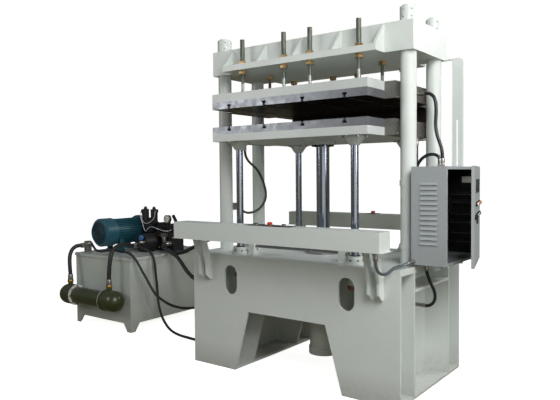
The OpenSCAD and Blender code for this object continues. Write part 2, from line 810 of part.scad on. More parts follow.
module cylinder_barrel() {
    flange_h = 35;
    flange_dia = barrel_dia + 65;
    cap_h = 60;
    cap_dia = barrel_dia + 18;
    color(paint) difference() {
        union() {
            translate([0, 0, barrel_z]) cylinder(h = table_under_z - barrel_z, d = barrel_dia, $fn = 96);
            translate([0, 0, table_under_z - flange_h]) cylinder(h = flange_h, d = flange_dia, $fn = 96);
            translate([0, 0, barrel_z]) cylinder(h = cap_h, d = cap_dia, $fn = 96);
        }
        translate([0, 0, barrel_z + barrel_floor_t])
            cylinder(h = table_under_z - barrel_z, d = barrel_bore, $fn = 96);
    }
}

module cylinder_head() {
    color(steel) difference() {
        union() {
            translate([0, 0, table_h]) cylinder(h = head_h, d = head_dia, $fn = 96);
            translate([0, 0, table_under_z]) cylinder(h = table_t, d = barrel_dia, $fn = 96);
        }
        translate([0, 0, table_under_z - cut])
            cylinder(h = table_t + head_h + 2 * cut, d = ram_dia + 2 * slide_gap, $fn = 96);
    }
}

module guide_sleeves() {
    color(paint) for (p = guide_places) {
        translate([p[0], p[1], 0]) difference() {
            union() {
                translate([0, 0, table_h]) cylinder(h = sleeve_flange_h, d = sleeve_flange_dia, $fn = 64);
                translate([0, 0, table_under_z - sleeve_drop])
                    cylinder(h = table_t + sleeve_drop, d = sleeve_dia, $fn = 64);
            }
            translate([0, 0, table_under_z - sleeve_drop - cut])
                cylinder(h = table_t + sleeve_drop + sleeve_flange_h + 2 * cut,
                    d = guide_dia + 2 * slide_gap, $fn = 64);
        }
    }
}

module main_ram() {
    color(chrome) {
        translate([0, 0, piston_z]) cylinder(h = piston_h, d = barrel_bore - 2 * slide_gap, $fn = 96);
        translate([0, 0, piston_z]) cylinder(h = lower_z - piston_z, d = ram_dia, $fn = 96);
        translate([0, 0, lower_z - ram_flange_h]) cylinder(h = ram_flange_h, d = ram_flange_dia, $fn = 96);
    }
}

module guide_rods() {
    hub_rim = 16;
    color(chrome) for (p = guide_places) {
        translate([p[0], p[1], 0]) {
            translate([0, 0, guide_end_z]) cylinder(h = lower_z - guide_end_z, d = guide_dia, $fn = 64);
            translate([0, 0, lower_z - guide_hub_h])
                cylinder(h = guide_hub_h - hub_rim, d1 = guide_dia + 14, d2 = guide_hub_dia, $fn = 64);
            translate([0, 0, lower_z - hub_rim]) cylinder(h = hub_rim, d = guide_hub_dia, $fn = 64);
        }
    }
}

// Places of the buttons on a bar
front_buttons = [-button_x, 0, button_x];
stop_z = bar_top_z + panel_t + button_gap;

// Folded control bar with a floor sheet
module control_bar(y_low, button_places, cable_x) {
    difference() {
        union() {
            box([-bar_w / 2, y_low, bar_z], [bar_w / 2, y_low + bar_d, bar_top_z]);
            box([-bar_w / 2 - bar_lip, y_low, bar_z], [bar_w / 2 + bar_lip, y_low + bar_d, bar_z + bar_wall]);
        }
        box([-bar_w / 2 + bar_wall, y_low + bar_wall, bar_z + bar_wall],
            [bar_w / 2 - bar_wall, y_low + bar_d - bar_wall, bar_top_z - bar_wall]);
        for (x = button_places) {
            translate([x, y_low + bar_d / 2, bar_top_z - bar_wall - cut])
                cylinder(h = bar_wall + 2 * cut, d = stem_dia + 4, $fn = 32);
        }
        translate([cable_x, y_low + bar_d / 2, bar_z - cut])
            cylinder(h = bar_wall + 2 * cut, d = conduit_dia, $fn = 32);
    }
}

module front_bar() {
    color(paint) control_bar(front_bar_y, front_buttons, bar_cable_route[0][0]);
}

module rear_bar() {
    color(paint) control_bar(rear_bar_y, [0], bar_cable_route[0][0]);
}

// Black panel with its button holes
module button_panel(y_mid, width, places) {
    difference() {
        box([-width / 2, y_mid - panel_d / 2, bar_top_z],
            [width / 2, y_mid + panel_d / 2, bar_top_z + panel_t]);
        for (x = places) {
            translate([x, y_mid, bar_top_z - cut])
                cylinder(h = panel_t + 2 * cut, d = stem_dia + 2 * slide_gap, $fn = 48);
        }
    }
}

module bar_panels() {
    color(black) button_panel(front_bar_y + bar_d / 2, panel_w, front_buttons);
    color(black) button_panel(rear_bar_y + bar_d / 2, panel_d, [0]);
}

// Stem under a button head
module stem(x, y, reach) {
    translate([x, y, stop_z - reach]) cylinder(h = reach, d = stem_dia, $fn = 48);
}

// Mushroom stop button
module stop_button(y) {
    color("#c8281f") {
        stem(0, y, button_gap + panel_t + 30);
        translate([0, y, stop_z]) cylinder(h = 5, d1 = stop_dia - 10, d2 = stop_dia, $fn = 48);
        translate([0, y, stop_z + 5]) cylinder(h = 7, d = stop_dia, $fn = 48);
        translate([0, y, stop_z + 12]) cylinder(h = 7, d1 = stop_dia, d2 = stop_dia - 14, $fn = 48);
    }
}

// Flat push button
module push_button(x) {
    color(black) {
        stem(x, front_bar_y + bar_d / 2, button_gap + panel_t + 30);
        translate([x, front_bar_y + bar_d / 2, stop_z]) cylinder(h = 8, d = button_dia, $fn = 48);
    }
}

module front_stop() {
    stop_button(front_bar_y + bar_d / 2);
}

module rear_stop() {
    stop_button(rear_bar_y + bar_d / 2);
}

module front_button_left() {
    push_button(-button_x);
}

module front_button_right() {
    push_button(button_x);
}

// Bracket from the base to a bar, drawn outward from the base face
module bracket(gap, bar_side) {
    foot_top_z = bracket_z + bracket_h;
    reach = gap + bar_d * bar_side;
    box([-bracket_w / 2, 0, bracket_z], [bracket_w / 2, bracket_foot_t, foot_top_z]);
    for (x = [-bracket_w / 2, bracket_w / 2 - bracket_t]) {
        plate_yz(x, bracket_t)
            polygon([[bracket_foot_t, bracket_z], [bracket_arm * 0.4, bracket_z],
                [bracket_arm, bracket_z + bracket_arm * 0.6],
                [bracket_arm, foot_top_z - bracket_arm], [reach, bar_z], [reach - bracket_arm, bar_z],
                [bracket_foot_t, foot_top_z - bracket_arm * 0.4]]);
    }
}

module bar_brackets() {
    color(paint) for (x = [-bracket_x, bracket_x]) {
        translate([x, base_d / 2, 0]) bracket(rear_gap, 0.25);
        translate([x, -base_d / 2, 0]) mirror([0, 1, 0]) bracket(front_gap, 0.25);
    }
}

module cross_shaft() {
    z = table_h + shaft_rise;
    shaft_end = 26;
    color(steel) bar_x(shaft_dia, -block_x - block_w / 2 - shaft_end, block_x + block_w / 2 + shaft_end,
        -shaft_y, z);
}

module shaft_blocks() {
    z = table_h + shaft_rise;
    color(paint) for (x = [-block_x, block_x]) {
        difference() {
            box([x - block_w / 2, -shaft_y - 30, table_h],
                [x + block_w / 2, -shaft_y + 30, table_h + block_h]);
            bar_x(shaft_dia + 2 * seat_gap, x - block_w, x + block_w, -shaft_y, z);
        }
    }
}

// One pressed louvre with its slot edge at height 0, drawn in Y and Z
module louvre_hood() {
    polygon([[0, louvre_h], [-louvre_out, 0], [-louvre_out + cabinet_wall * 0.8, 0],
        [0, louvre_h - cabinet_wall * 1.2]]);
}

module cabinet_box() {
    louvre_x = cabinet_x + 70;
    color("#a9adb0") {
        difference() {
            box([cabinet_x, cabinet_y, cabinet_z], [cabinet_front_x, cabinet_far_y, cabinet_top_z]);
            box([cabinet_x + cabinet_wall, cabinet_y + cabinet_wall, cabinet_z + cabinet_wall],
                [cabinet_front_x - cabinet_wall, cabinet_far_y - cabinet_wall, cabinet_top_z - cabinet_wall]);
            box([cabinet_front_x - cabinet_wall - cut, cabinet_y + cabinet_rim, cabinet_z + cabinet_rim],
                [cabinet_front_x + cut, cabinet_far_y - cabinet_rim, cabinet_top_z - cabinet_rim]);
            for (i = [0 : louvre_count - 1]) {
                z = cabinet_z + louvre_z + i * louvre_pitch;
                box([louvre_x, cabinet_y - cut, z],
                    [louvre_x + louvre_w, cabinet_y + cabinet_wall + cut, z + louvre_h * 0.6]);
            }
        }
        for (i = [0 : louvre_count - 1]) {
            translate([0, cabinet_y, cabinet_z + louvre_z + i * louvre_pitch])
                plate_yz(louvre_x, louvre_w) louvre_hood();
        }
        for (z = hinge_levels) {
            translate([door_x, hinge_y, z]) cylinder(h = knuckle_h, d = hinge_pin_dia, $fn = 32);
            translate([door_x, hinge_y, z - knuckle_h]) cylinder(h = knuckle_h, d = 2 * hinge_out - 2,
                $fn = 32);
            box([cabinet_front_x - 30, cabinet_far_y, z - knuckle_h], [door_x, hinge_y, z]);
        }
    }
}
hinge_levels = [cabinet_z + 100, cabinet_top_z - 140];

// Row of devices on a rail inside the cabinet
module device_row(z, height, depth, widths, gap) {
    plate_x = cabinet_x + cabinet_wall + 18;
    starts = [for (i = 0, y = cabinet_y + 60; i < len(widths); y = y + widths[i] + gap, i = i + 1) y];
    for (i = [0 : last(widths)]) {
        box([plate_x, starts[i], z], [plate_x + depth, starts[i] + widths[i], z + height]);
    }
}

module cabinet_gear() {
    back_x = cabinet_x + cabinet_wall;
    margin = 30;
    color("#8a8d90") {
        box([back_x + 15, cabinet_y + margin, cabinet_z + margin],
            [back_x + 18, cabinet_far_y - margin, cabinet_top_z - margin]);
        for (y = [cabinet_y + margin + 20, cabinet_far_y - margin - 20]) {
            for (z = [cabinet_z + margin + 20, cabinet_top_z - margin - 20]) {
                bar_x(16, back_x, back_x + 15, y, z);
            }
        }
    }
    color(black) {
        device_row(cabinet_z + 540, 90, 72, [54, 54, 54, 54, 90, 36, 36], 8);
        device_row(cabinet_z + 370, 110, 95, [60, 60, 60, 60, 60, 60], 16);
        device_row(cabinet_z + 215, 80, 70, [45, 45, 45, 45, 120, 60], 12);
        device_row(cabinet_z + 80, 60, 55, [480], 0);
    }
}

// Clamp round a column with a pad against the cabinet back
module column_clamp(z) {
    ring_dia = column_dia + 2 * clamp_wall;
    translate([0, 0, z - clamp_w / 2]) difference() {
        union() {
            cylinder(h = clamp_w, d = ring_dia, $fn = 64);
            translate([0, -30, 0]) cube([column_dia / 2 + cabinet_gap, 60, clamp_w]);
        }
        translate([0, 0, -cut]) cylinder(h = clamp_w + 2 * cut, d = column_dia + 2 * seat_gap, $fn = 64);
        translate([column_dia / 2 + cabinet_gap, -ring_dia, -cut]) cube([ring_dia, 2 * ring_dia,
            clamp_w + 2 * cut]);
    }
}

module cabinet_clamps() {
    color(paint) for (y = [-column_y, column_y]) {
        for (z = clamp_levels) {
            translate([column_x, y, 0]) column_clamp(z);
        }
    }
}

// Turns a piece drawn on the closed door to the door's resting angle
module on_door() {
    translate([door_x, hinge_y, 0]) rotate([0, 0, door_open]) translate([-door_x, -hinge_y, 0]) children();
}

module cabinet_door() {
    skin = 2;
    color("#b4b7b9") on_door() {
        difference() {
            box([door_x, cabinet_y, cabinet_z], [door_x + door_t, cabinet_far_y, cabinet_top_z]);
            box([door_x - cut, cabinet_y + skin, cabinet_z + skin],
                [door_x + door_t - skin, cabinet_far_y - skin, cabinet_top_z - skin]);
        }
        for (z = hinge_levels) {
            difference() {
                union() {
                    translate([door_x, hinge_y, z + seat_gap])
                        cylinder(h = knuckle_h - 2 * seat_gap, d = 2 * hinge_out - 2, $fn = 32);
                    box([door_x + 2, cabinet_far_y, z + seat_gap],
                        [door_x + 5, hinge_y, z + knuckle_h - seat_gap]);
                }
                translate([door_x, hinge_y, z - cut])
                    cylinder(h = knuckle_h + 2 * cut, d = hinge_pin_dia + 2 * slide_gap, $fn = 32);
            }
        }
    }
}

module door_controls() {
    face_x = door_x + door_t;
    color(black) on_door() {
        for (i = [0, 1]) {
            y = cabinet_y + 130 + i * 190;
            box([face_x, y, cabinet_top_z - 190], [face_x + 8, y + 96, cabinet_top_z - 94]);
        }
        for (i = [0 : 4]) {
            for (z = [cabinet_top_z - 270, cabinet_top_z - 350]) {
                bar_x(30, face_x, face_x + 14, cabinet_y + 120 + i * 85, z);
            }
        }
        bar_x(36, face_x, face_x + 10, cabinet_y + 40, cabinet_z + cabinet_h / 2);
        box([face_x + 10, cabinet_y + 34, cabinet_z + cabinet_h / 2 - 45],
            [face_x + 22, cabinet_y + 46, cabinet_z + cabinet_h / 2 + 15]);
    }
}

// Outline of the switch rail with its upper outer corner rounded, drawn in X and Z
module rail_outline(low, high, corner) {
    translate(low) square([high[0] - low[0], high[1] - low[1] - corner]);
    translate(low) square([high[0] - low[0] - corner, high[1] - low[1]]);
    translate([high[0] - corner, high[1] - corner]) circle(r = corner, $fn = 96);
}

module switch_rail() {
    low_x = crown_w / 2 + rail_gap;
    low_z = table_h - table_t;
    high_z = crown_z + rail_rise;
    slot_top_z = crown_z - rail_slot_drop;
    mid_x = low_x + rail_w / 2;
    color(paint) {
        difference() {
            plate_xz(rail_y, rail_d) rail_outline([low_x, low_z], [low_x + rail_w, high_z], rail_corner);
            plate_xz(rail_y + rail_t, rail_d) rail_outline([low_x + rail_t, low_z - cut],
                [low_x + rail_w - rail_t, high_z - rail_t], rail_corner - rail_t);
            box([mid_x - rail_slot_w / 2, rail_y - cut, slot_top_z - rail_slot_h],
                [mid_x + rail_slot_w / 2, rail_y + rail_t + cut, slot_top_z]);
        }
        box([crown_w / 2, rail_y, crown_z], [low_x, rail_y + rail_d, high_z]);
        box([base_w / 2, rail_y, low_z], [low_x, rail_y + rail_d, table_h]);
    }
}

// Tapered corner foot of the tank
module tank_foot() {
    wide = 120;
    narrow = 62;
    plate_xz(0, tank_wall) polygon([[0, tank_foot_h], [wide, tank_foot_h], [narrow, 0], [0, 0]]);
    plate_yz(0, tank_wall) polygon([[0, tank_foot_h], [wide, tank_foot_h], [narrow, 0], [0, 0]]);
}

module tank_body() {
    color(paint) {
        difference() {
            box([tank_x, tank_y, tank_foot_h], [tank_x + tank_w, tank_y + tank_d, tank_top_z]);
            box([tank_x + tank_wall, tank_y + tank_wall, tank_foot_h + tank_wall],
                [tank_x + tank_w - tank_wall, tank_y + tank_d - tank_wall, tank_top_z + cut]);
        }
        for (i = [0, 1]) {
            for (j = [0, 1]) {
                translate([tank_x + i * tank_w, tank_y + j * tank_d, 0])
                    mirror([i, 0, 0]) mirror([0, j, 0]) tank_foot();
            }
        }
    }
}

module tank_lid() {
    breather_dia = 90;
    color(paint) {
        box([tank_x - lid_over, tank_y - lid_over, tank_top_z],
            [tank_x + tank_w + lid_over, tank_y + tank_d + lid_over, lid_z]);
        translate([tank_x + 120, tank_y + tank_d - 160, lid_z]) cylinder(h = 70, d = breather_dia, $fn = 48);
    }
}

// Cross-section of the finned motor body
module fin_section() {
    circle(d = motor_dia - 2 * fin_h, $fn = 96);
    for (a = [0 : 10 : 350]) {
        rotate(a) translate([0, -2.5]) square([motor_dia / 2, 5]);
    }
}

module motor() {
    dome = 24;
    color("#1f4f66") translate([motor_x, motor_y, motor_z]) rotate([-90, 0, 0]) {
        linear_extrude(motor_len - 25) fin_section();
        translate([0, 0, motor_len - 25]) cylinder(h = 25, d = motor_flange_dia, $fn = 96);
        translate([0, 0, -cowl_len + dome]) cylinder(h = cowl_len - dome, d = cowl_dia, $fn = 96);
        translate([0, 0, -cowl_len]) cylinder(h = dome, d1 = cowl_dia - 60, d2 = cowl_dia, $fn = 96);
    }
    color("#1f4f66") for (y = [motor_y + 40, motor_y + motor_len - 120]) {
        box([motor_x - 140, y, lid_z], [motor_x + 140, y + 60, lid_z + 20]);
        for (x = [motor_x - 120, motor_x + 90]) {
            box([x, y, lid_z + 20], [x + 30, y + 60, motor_z - 60]);
        }
    }
    color("#1f4f66") box([motor_x - 215, motor_y + 110, motor_z - 55],
        [motor_x - motor_dia / 2 + 20, motor_y + 250, motor_z + 55]);
}

module pump_unit() {
    bell_len = 120;
    pump_len = 150;
    color(black) {
        difference() {
            translate([motor_x, motor_end_y, motor_z]) rotate([-90, 0, 0])
                cylinder(h = bell_len, d1 = motor_flange_dia - 60, d2 = 190, $fn = 96);
            bar_x(70, motor_x - 200, motor_x + 200, motor_end_y + bell_len / 2, motor_z);
        }
        bar_y(180, motor_end_y + bell_len, motor_end_y + bell_len + pump_len, motor_x, motor_z);
        box([motor_x - 70, motor_end_y + bell_len + 30, lid_z],
            [motor_x + 70, motor_end_y + bell_len + 60, motor_z]);
        box([motor_x - 40, motor_end_y + bell_len + 60, motor_z + 60],
            [motor_x + 40, motor_end_y + bell_len + 130, motor_z + 130]);
    }
}

module aux_pump() {
    foot_w = 150;
    foot_rise = 60;
    cover_step = 20;
    color(black) {
        bar_y(aux_pump_dia, aux_pump_y, aux_pump_y + aux_pump_len - cover_step, aux_pump_x, aux_pump_z);
        bar_y(aux_pump_dia - 50, aux_pump_y + aux_pump_len - cover_step, aux_pump_y + aux_pump_len,
            aux_pump_x, aux_pump_z);
        box([aux_pump_x - foot_w / 2, aux_pump_y + 20, lid_z],
            [aux_pump_x + foot_w / 2, aux_pump_y + 130, lid_z + foot_rise]);
    }
    color("#2a55b0") bar_y(56, aux_pump_y - 18, aux_pump_y, aux_pump_x + 30, aux_pump_z + 65);
}

module valve_manifold() {
    color("#2b2c2f") box([manifold_x, manifold_y, lid_z],
        [manifold_x + manifold_w, manifold_y + manifold_d, manifold_top_z]);
}

// Directional valve with two upright coils
module coil_valve() {
    coil_dia = 84;
    box([-52, -25, 0], [112, 95, 100]);
    box([-98, -22, 100], [138, 46, 120]);
    for (x = [-56, 96]) {
        translate([x, 20, 120]) cylinder(h = 150, d = coil_dia, $fn = 48);
        translate([x, 20, 270]) cylinder(h = 20, d = 40, $fn = 32);
    }
}

// Pressure gauge on a stem, facing forward
module gauge() {
    translate([0, 30, 0]) cylinder(h = 130, d = 20, $fn = 32);
    translate([0, 14, 162]) rotate([-90, 0, 0]) cylinder(h = 32, d = 90, $fn = 64);
}

// Relief valve with a slanted hand lever
module relief_valve() {
    box([-30, 30, 0], [30, 130, 110]);
    translate([0, 80, 110]) cylinder(h = 36, d = 36, $fn = 32);
    translate([0, 80, 146]) rotate([0, -35, 0]) translate([-14, -12, -20]) cube([28, 24, 90]);
}

module valve_stack() {
    color(black) translate([manifold_x, manifold_y, manifold_top_z]) {
        coil_valve();
        translate([120, 0, 0]) {
            box([0, 20, 0], [150, 140, 70]);
            box([20, 20, 70], [130, 140, 115]);
            bar_y(50, -30, 20, 75, 45);
        }
        translate([320, 0, 0]) gauge();
        translate([395, 0, 0]) relief_valve();
    }
}

// Domed bonnet of the cooler with its flange, apex first
module bonnet() {
    rim = 24;
    dome_r = bonnet_dia / 2;
    intersection() {
        translate([0, 0, dome_r]) sphere(r = dome_r, $fn = 96);
        cylinder(h = dome_r, d = bonnet_dia, $fn = 96);
    }
    translate([0, 0, dome_r]) cylinder(h = bonnet_len - dome_r, d = bonnet_dia, $fn = 96);
    translate([0, 0, bonnet_len - rim]) cylinder(h = rim, d = bonnet_dia + 2 * cooler_rim, $fn = 96);
}

module oil_cooler() {
    shell_len = cooler_len - 2 * bonnet_len;
    saddle_w = 30;
    saddle_h = 60;
    port_rise = 160;
    color("#4a4f2c") {
        translate([cooler_x, cooler_y, cooler_z]) rotate([0, 90, 0]) bonnet();
        bar_x(cooler_dia, cooler_x + bonnet_len, cooler_x + bonnet_len + shell_len, cooler_y, cooler_z);
        translate([cooler_x + cooler_len, cooler_y, cooler_z]) rotate([0, -90, 0]) bonnet();
        for (x = [cooler_x + bonnet_len + 60, cooler_x + cooler_len - bonnet_len - 60 - saddle_w]) {
            box([x, cooler_y, cooler_z - saddle_h / 2], [x + saddle_w, tank_y, cooler_z + saddle_h / 2]);
        }
        translate([cooler_left_route[0][0], cooler_y, cooler_z])
            cylinder(h = port_rise, d = cooler_hose_dia + 10, $fn = 48);
        translate([cooler_right_route[0][0], cooler_y, cooler_z])
            cylinder(h = port_rise + 5, d = cooler_hose_dia + 10, $fn = 48);
    }
}

// Directions of a fitting as turns of the upright one
to_right = [0, 90, 0];
to_left = [0, -90, 0];
to_front = [90, 0, 0];
up = [0, 0, 0];
down = [180, 0, 0];

// Hose or cable fitting: a hexagon on its face and a sleeve up to the hose
module fitting(face, turn, length, dia) {
    hex_len = length * 0.4;
    translate(face) rotate(turn) {
        cylinder(h = hex_len, d = 1.3 * dia / cos(30), $fn = 6);
        translate([0, 0, hex_len]) cylinder(h = length - hex_len, d = 1.16 * dia, $fn = 32);
    }
}

// Place of a route end on a given axis plane
function start_of(route) = route[0];
function end_of(route) = route[last(route)];

module hose_fittings() {
    web_face_x = -web_out_x;
    elbow_w = 60;
    elbow_h = 45;
    table_block_w = 60;
    saddle_low = [-column_x + 18, -215, 1350];
    saddle_high = [-column_x + 68, -160, 1415];
    return_end = end_of(cooler_left_route);
    color("#b9b7a8") {
        translate([return_end[0] - return_block_w / 2, return_end[1], lid_z])
            cube([return_block_w, return_block_w, return_block_h]);
        for (route = [lead_route, floor_route]) {
            fitting([web_face_x, end_of(route)[1], end_of(route)[2]], to_left, hose_fitting_len,
                thin_hose_dia);
        }
        fitting([web_face_x, end_of(feed_route)[1], end_of(feed_route)[2]], to_left, hose_fitting_len,
            thick_hose_dia);
        fitting([start_of(feed_route)[0], manifold_y, start_of(feed_route)[2]], to_front,
            block_fitting_len, thick_hose_dia);
        box([start_of(table_route)[0] - elbow_w / 2, manifold_y - elbow_w, manifold_top_z - elbow_h],
            [start_of(table_route)[0] + elbow_w / 2, manifold_y, manifold_top_z]);
        translate([end_of(table_route)[0], -table_block_w / 2, table_h])
            cube([table_block_w, table_block_w, 72]);
        fitting([start_of(floor_route)[0], aux_pump_y, start_of(floor_route)[2]], to_front,
            block_fitting_len, thin_hose_dia);
        fitting([end_of(cooler_right_route)[0], aux_pump_y, end_of(cooler_right_route)[2]], to_front,
            block_fitting_len, cooler_hose_dia);
        fitting([platen_w / 2 + cover_out, start_of(upper_cable_route)[1],
            start_of(upper_cable_route)[2]], to_right,
            46, conduit_dia);
        fitting([end_of(upper_cable_route)[0], end_of(upper_cable_route)[1], cabinet_top_z], up,
            gland_len, conduit_dia);
        fitting([start_of(lower_cable_route)[0], start_of(lower_cable_route)[1], cabinet_top_z], up,
            gland_len, cable_dia);
        fitting([start_of(base_cable_route)[0], start_of(base_cable_route)[1], cabinet_z], down,
            gland_len, cable_dia);
        fitting([end_of(bar_cable_route)[0], cabinet_y, end_of(bar_cable_route)[2]], to_front, gland_len,
            thin_cable_dia);
        fitting([start_of(bar_cable_route)[0], start_of(bar_cable_route)[1], bar_z], down, gland_len,
            thin_cable_dia);
        fitting([web_out_x, end_of(base_cable_route)[1], end_of(base_cable_route)[2]], to_right,
            end_of(base_cable_route)[0] - web_out_x, cable_dia);
        difference() {
            box(saddle_low, saddle_high);
            translate([-column_x, -column_y, saddle_low[2] - cut])
                cylinder(h = saddle_high[2] - saddle_low[2] + 2 * cut, d = column_dia + 2 * seat_gap,
                    $fn = 64);
        }
    }
}

module platen_glands() {
    color("#b9b7a8") {
        fitting([end_of(lower_cable_route)[0], end_of(lower_cable_route)[1], lower_z], down, gland_len,
            cable_dia);
        fitting([start_of(platen_cable_route)[0], start_of(platen_cable_route)[1], lower_z], down,
            gland_len, thin_cable_dia);
    }
}

module hose_cooler_left() {
    color("#3a3a3c") tube(cooler_left_route, cooler_hose_dia);
}

module hose_cooler_right() {
    color("#3a3a3c") tube(cooler_right_route, cooler_hose_dia);
}

module hose_lead() {
    color(black) tube(lead_route, thin_hose_dia);
}

module hose_floor() {
    color(black) tube(floor_route, thin_hose_dia);
}

module hose_table() {
    color(black) tube(table_route, thick_hose_dia);
}

module hose_feed() {
    color(black) tube(feed_route, thick_hose_dia);
}

module cable_upper() {
    color(black) tube(upper_cable_route, conduit_dia);
}

module cable_lower() {
    color(black) tube(lower_cable_route, cable_dia);
}

module cable_base() {
    color(black) tube(base_cable_route, cable_dia);
}

module cable_bar() {
    color("#8d9194") tube(bar_cable_route, thin_cable_dia);
}

module cable_platen() {
    color(black) tube(platen_cable_route, thin_cable_dia);
}

base_front_plate();
base_rear_plate();
base_ribs();
base_leg_left();
base_leg_right();
table_plate();
columns();
column_nuts();
crown_beam();
crown_ledges();
upper_backing_plate();
upper_heating_plate();
upper_end_covers();
hanger_rods();
hanger_nuts();
cylinder_barrel();
cylinder_head();
guide_sleeves();
lower_backing_plate();
lower_heating_plate();
lower_end_covers();
main_ram();
guide_rods();
platen_glands();
front_bar();
rear_bar();
bar_panels();
bar_brackets();
front_stop();
front_button_left();
front_button_right();
rear_stop();
cross_shaft();
shaft_blocks();
cabinet_box();
cabinet_gear();
cabinet_clamps();
cabinet_door();
door_controls();
switch_rail();
tank_body();
tank_lid();
motor();
pump_unit();
aux_pump();
valve_manifold();
valve_stack();
oil_cooler();
hose_fittings();
hose_cooler_left();
hose_cooler_right();
hose_lead();
hose_floor();
hose_table();
hose_feed();
cable_upper();
cable_lower();
cable_base();
cable_bar();
cable_platen();
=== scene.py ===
"""Dresses a four-column heated-platen press and its hydraulic power unit for display."""

import logging
import math
from dataclasses import dataclass
from enum import Enum
from typing import Any, Dict, Iterable, List, Optional, Sequence, Tuple, Union

import bpy
from mathutils import Matrix, Vector


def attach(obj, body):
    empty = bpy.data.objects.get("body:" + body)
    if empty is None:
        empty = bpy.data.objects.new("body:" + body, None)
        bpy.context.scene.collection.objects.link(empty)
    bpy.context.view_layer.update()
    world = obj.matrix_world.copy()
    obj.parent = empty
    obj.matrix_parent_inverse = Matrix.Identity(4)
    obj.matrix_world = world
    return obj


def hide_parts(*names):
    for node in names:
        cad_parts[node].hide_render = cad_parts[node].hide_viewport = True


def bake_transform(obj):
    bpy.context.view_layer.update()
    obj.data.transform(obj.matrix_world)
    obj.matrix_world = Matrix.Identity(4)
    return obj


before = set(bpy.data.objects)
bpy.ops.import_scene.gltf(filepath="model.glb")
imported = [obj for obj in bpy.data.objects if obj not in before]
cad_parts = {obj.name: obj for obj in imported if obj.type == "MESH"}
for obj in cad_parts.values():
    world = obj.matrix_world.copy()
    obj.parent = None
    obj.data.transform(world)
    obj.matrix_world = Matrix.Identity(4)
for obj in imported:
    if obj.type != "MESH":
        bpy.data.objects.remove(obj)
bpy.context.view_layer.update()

log = logging.getLogger("press")

Point = Tuple[float, float, float]
Colour = Tuple[float, float, float, float]
Outline = Sequence[Tuple[float, float]]
Piece = bpy.types.Object
Socket = bpy.types.NodeSocket
Tree = bpy.types.NodeTree

UP: Point = (0.0, 0.0, 1.0)
DOWN: Point = (0.0, 0.0, -1.0)
RIGHT: Point = (1.0, 0.0, 0.0)
LEFT: Point = (-1.0, 0.0, 0.0)
FRONT: Point = (0.0, -1.0, 0.0)
BACK: Point = (0.0, 1.0, 0.0)

# Numbers of a mix node's colour sockets.
MIX_SHARE, MIX_FIRST, MIX_SECOND, MIX_RESULT = 0, 6, 7, 2
# Middle of each guide rod, seen from above.
GUIDES = tuple((x, y) for x in (-0.570, 0.570) for y in (-0.450, 0.450))


def linear(hex_colour: str) -> Colour:
    """Turns an sRGB hex colour into linear numbers.

    Args:
        hex_colour: The colour as #RRGGBB.

    Returns:
        Linear red, green, blue and full alpha.
    """
    parts = [int(hex_colour[i:i + 2], 16) / 255 for i in (1, 3, 5)]
    red, green, blue = (c / 12.92 if c <= 0.04045 else ((c + 0.055) / 1.055) ** 2.4 for c in parts)
    return (red, green, blue, 1.0)


def per_metre(size_mm: float) -> float:
    """Gives the noise scale whose blotches are about size_mm across."""
    return 1000.0 / size_mm


def bands_per_metre(pitch_mm: float) -> float:
    """Gives the wave scale whose bands repeat every pitch_mm: one band is 2 pi / 20 long at scale 1."""
    return 2.0 * math.pi / 20.0 * 1000.0 / pitch_mm


def add_node(tree: Tree, kind: str, settings: Optional[Dict[Any, Any]] = None,
             links: Optional[Dict[Any, Socket]] = None) -> bpy.types.Node:
    """Adds one node to a tree with its settings and links.

    Args:
        tree: The node tree.
        kind: The node's type name.
        settings: Values by property name, or by the name or number of an input.
        links: Output sockets by the name or number of the input that they feed.

    Returns:
        The new node.
    """
    node = tree.nodes.new(kind)
    for key, value in (settings or {}).items():
        if isinstance(key, str) and hasattr(node, key):
            setattr(node, key, value)
        else:
            node.inputs[key].default_value = value
    for key, source in (links or {}).items():
        tree.links.new(source, node.inputs[key])
    return node


def mix(tree: Tree, share: Socket, first: Union[str, Socket], second: str) -> Socket:
    """Mixes two colours.

    Args:
        tree: The node tree.
        share: How much of the second colour shows.
        first: The first colour, as sRGB hex or from a socket.
        second: The second colour, sRGB hex.

    Returns:
        The mixed colour.
    """
    settings = {"data_type": "RGBA", MIX_SECOND: linear(second)}
    links = {MIX_SHARE: share}
    if isinstance(first, str):
        settings[MIX_FIRST] = linear(first)
    else:
        links[MIX_FIRST] = first
    return add_node(tree, "ShaderNodeMix", settings, links).outputs[MIX_RESULT]


class Grain(Enum):
    """How a surface was made, as the stretch of its grain along X, Y and Z."""

    EVEN = (1.0, 1.0, 1.0)
    ALONG_X = (0.04, 1.0, 1.0)
    ALONG_Y = (1.0, 0.04, 1.0)
    ALONG_Z = (1.0, 1.0, 0.04)
    ROUND_Z = (0.06, 0.06, 1.0)


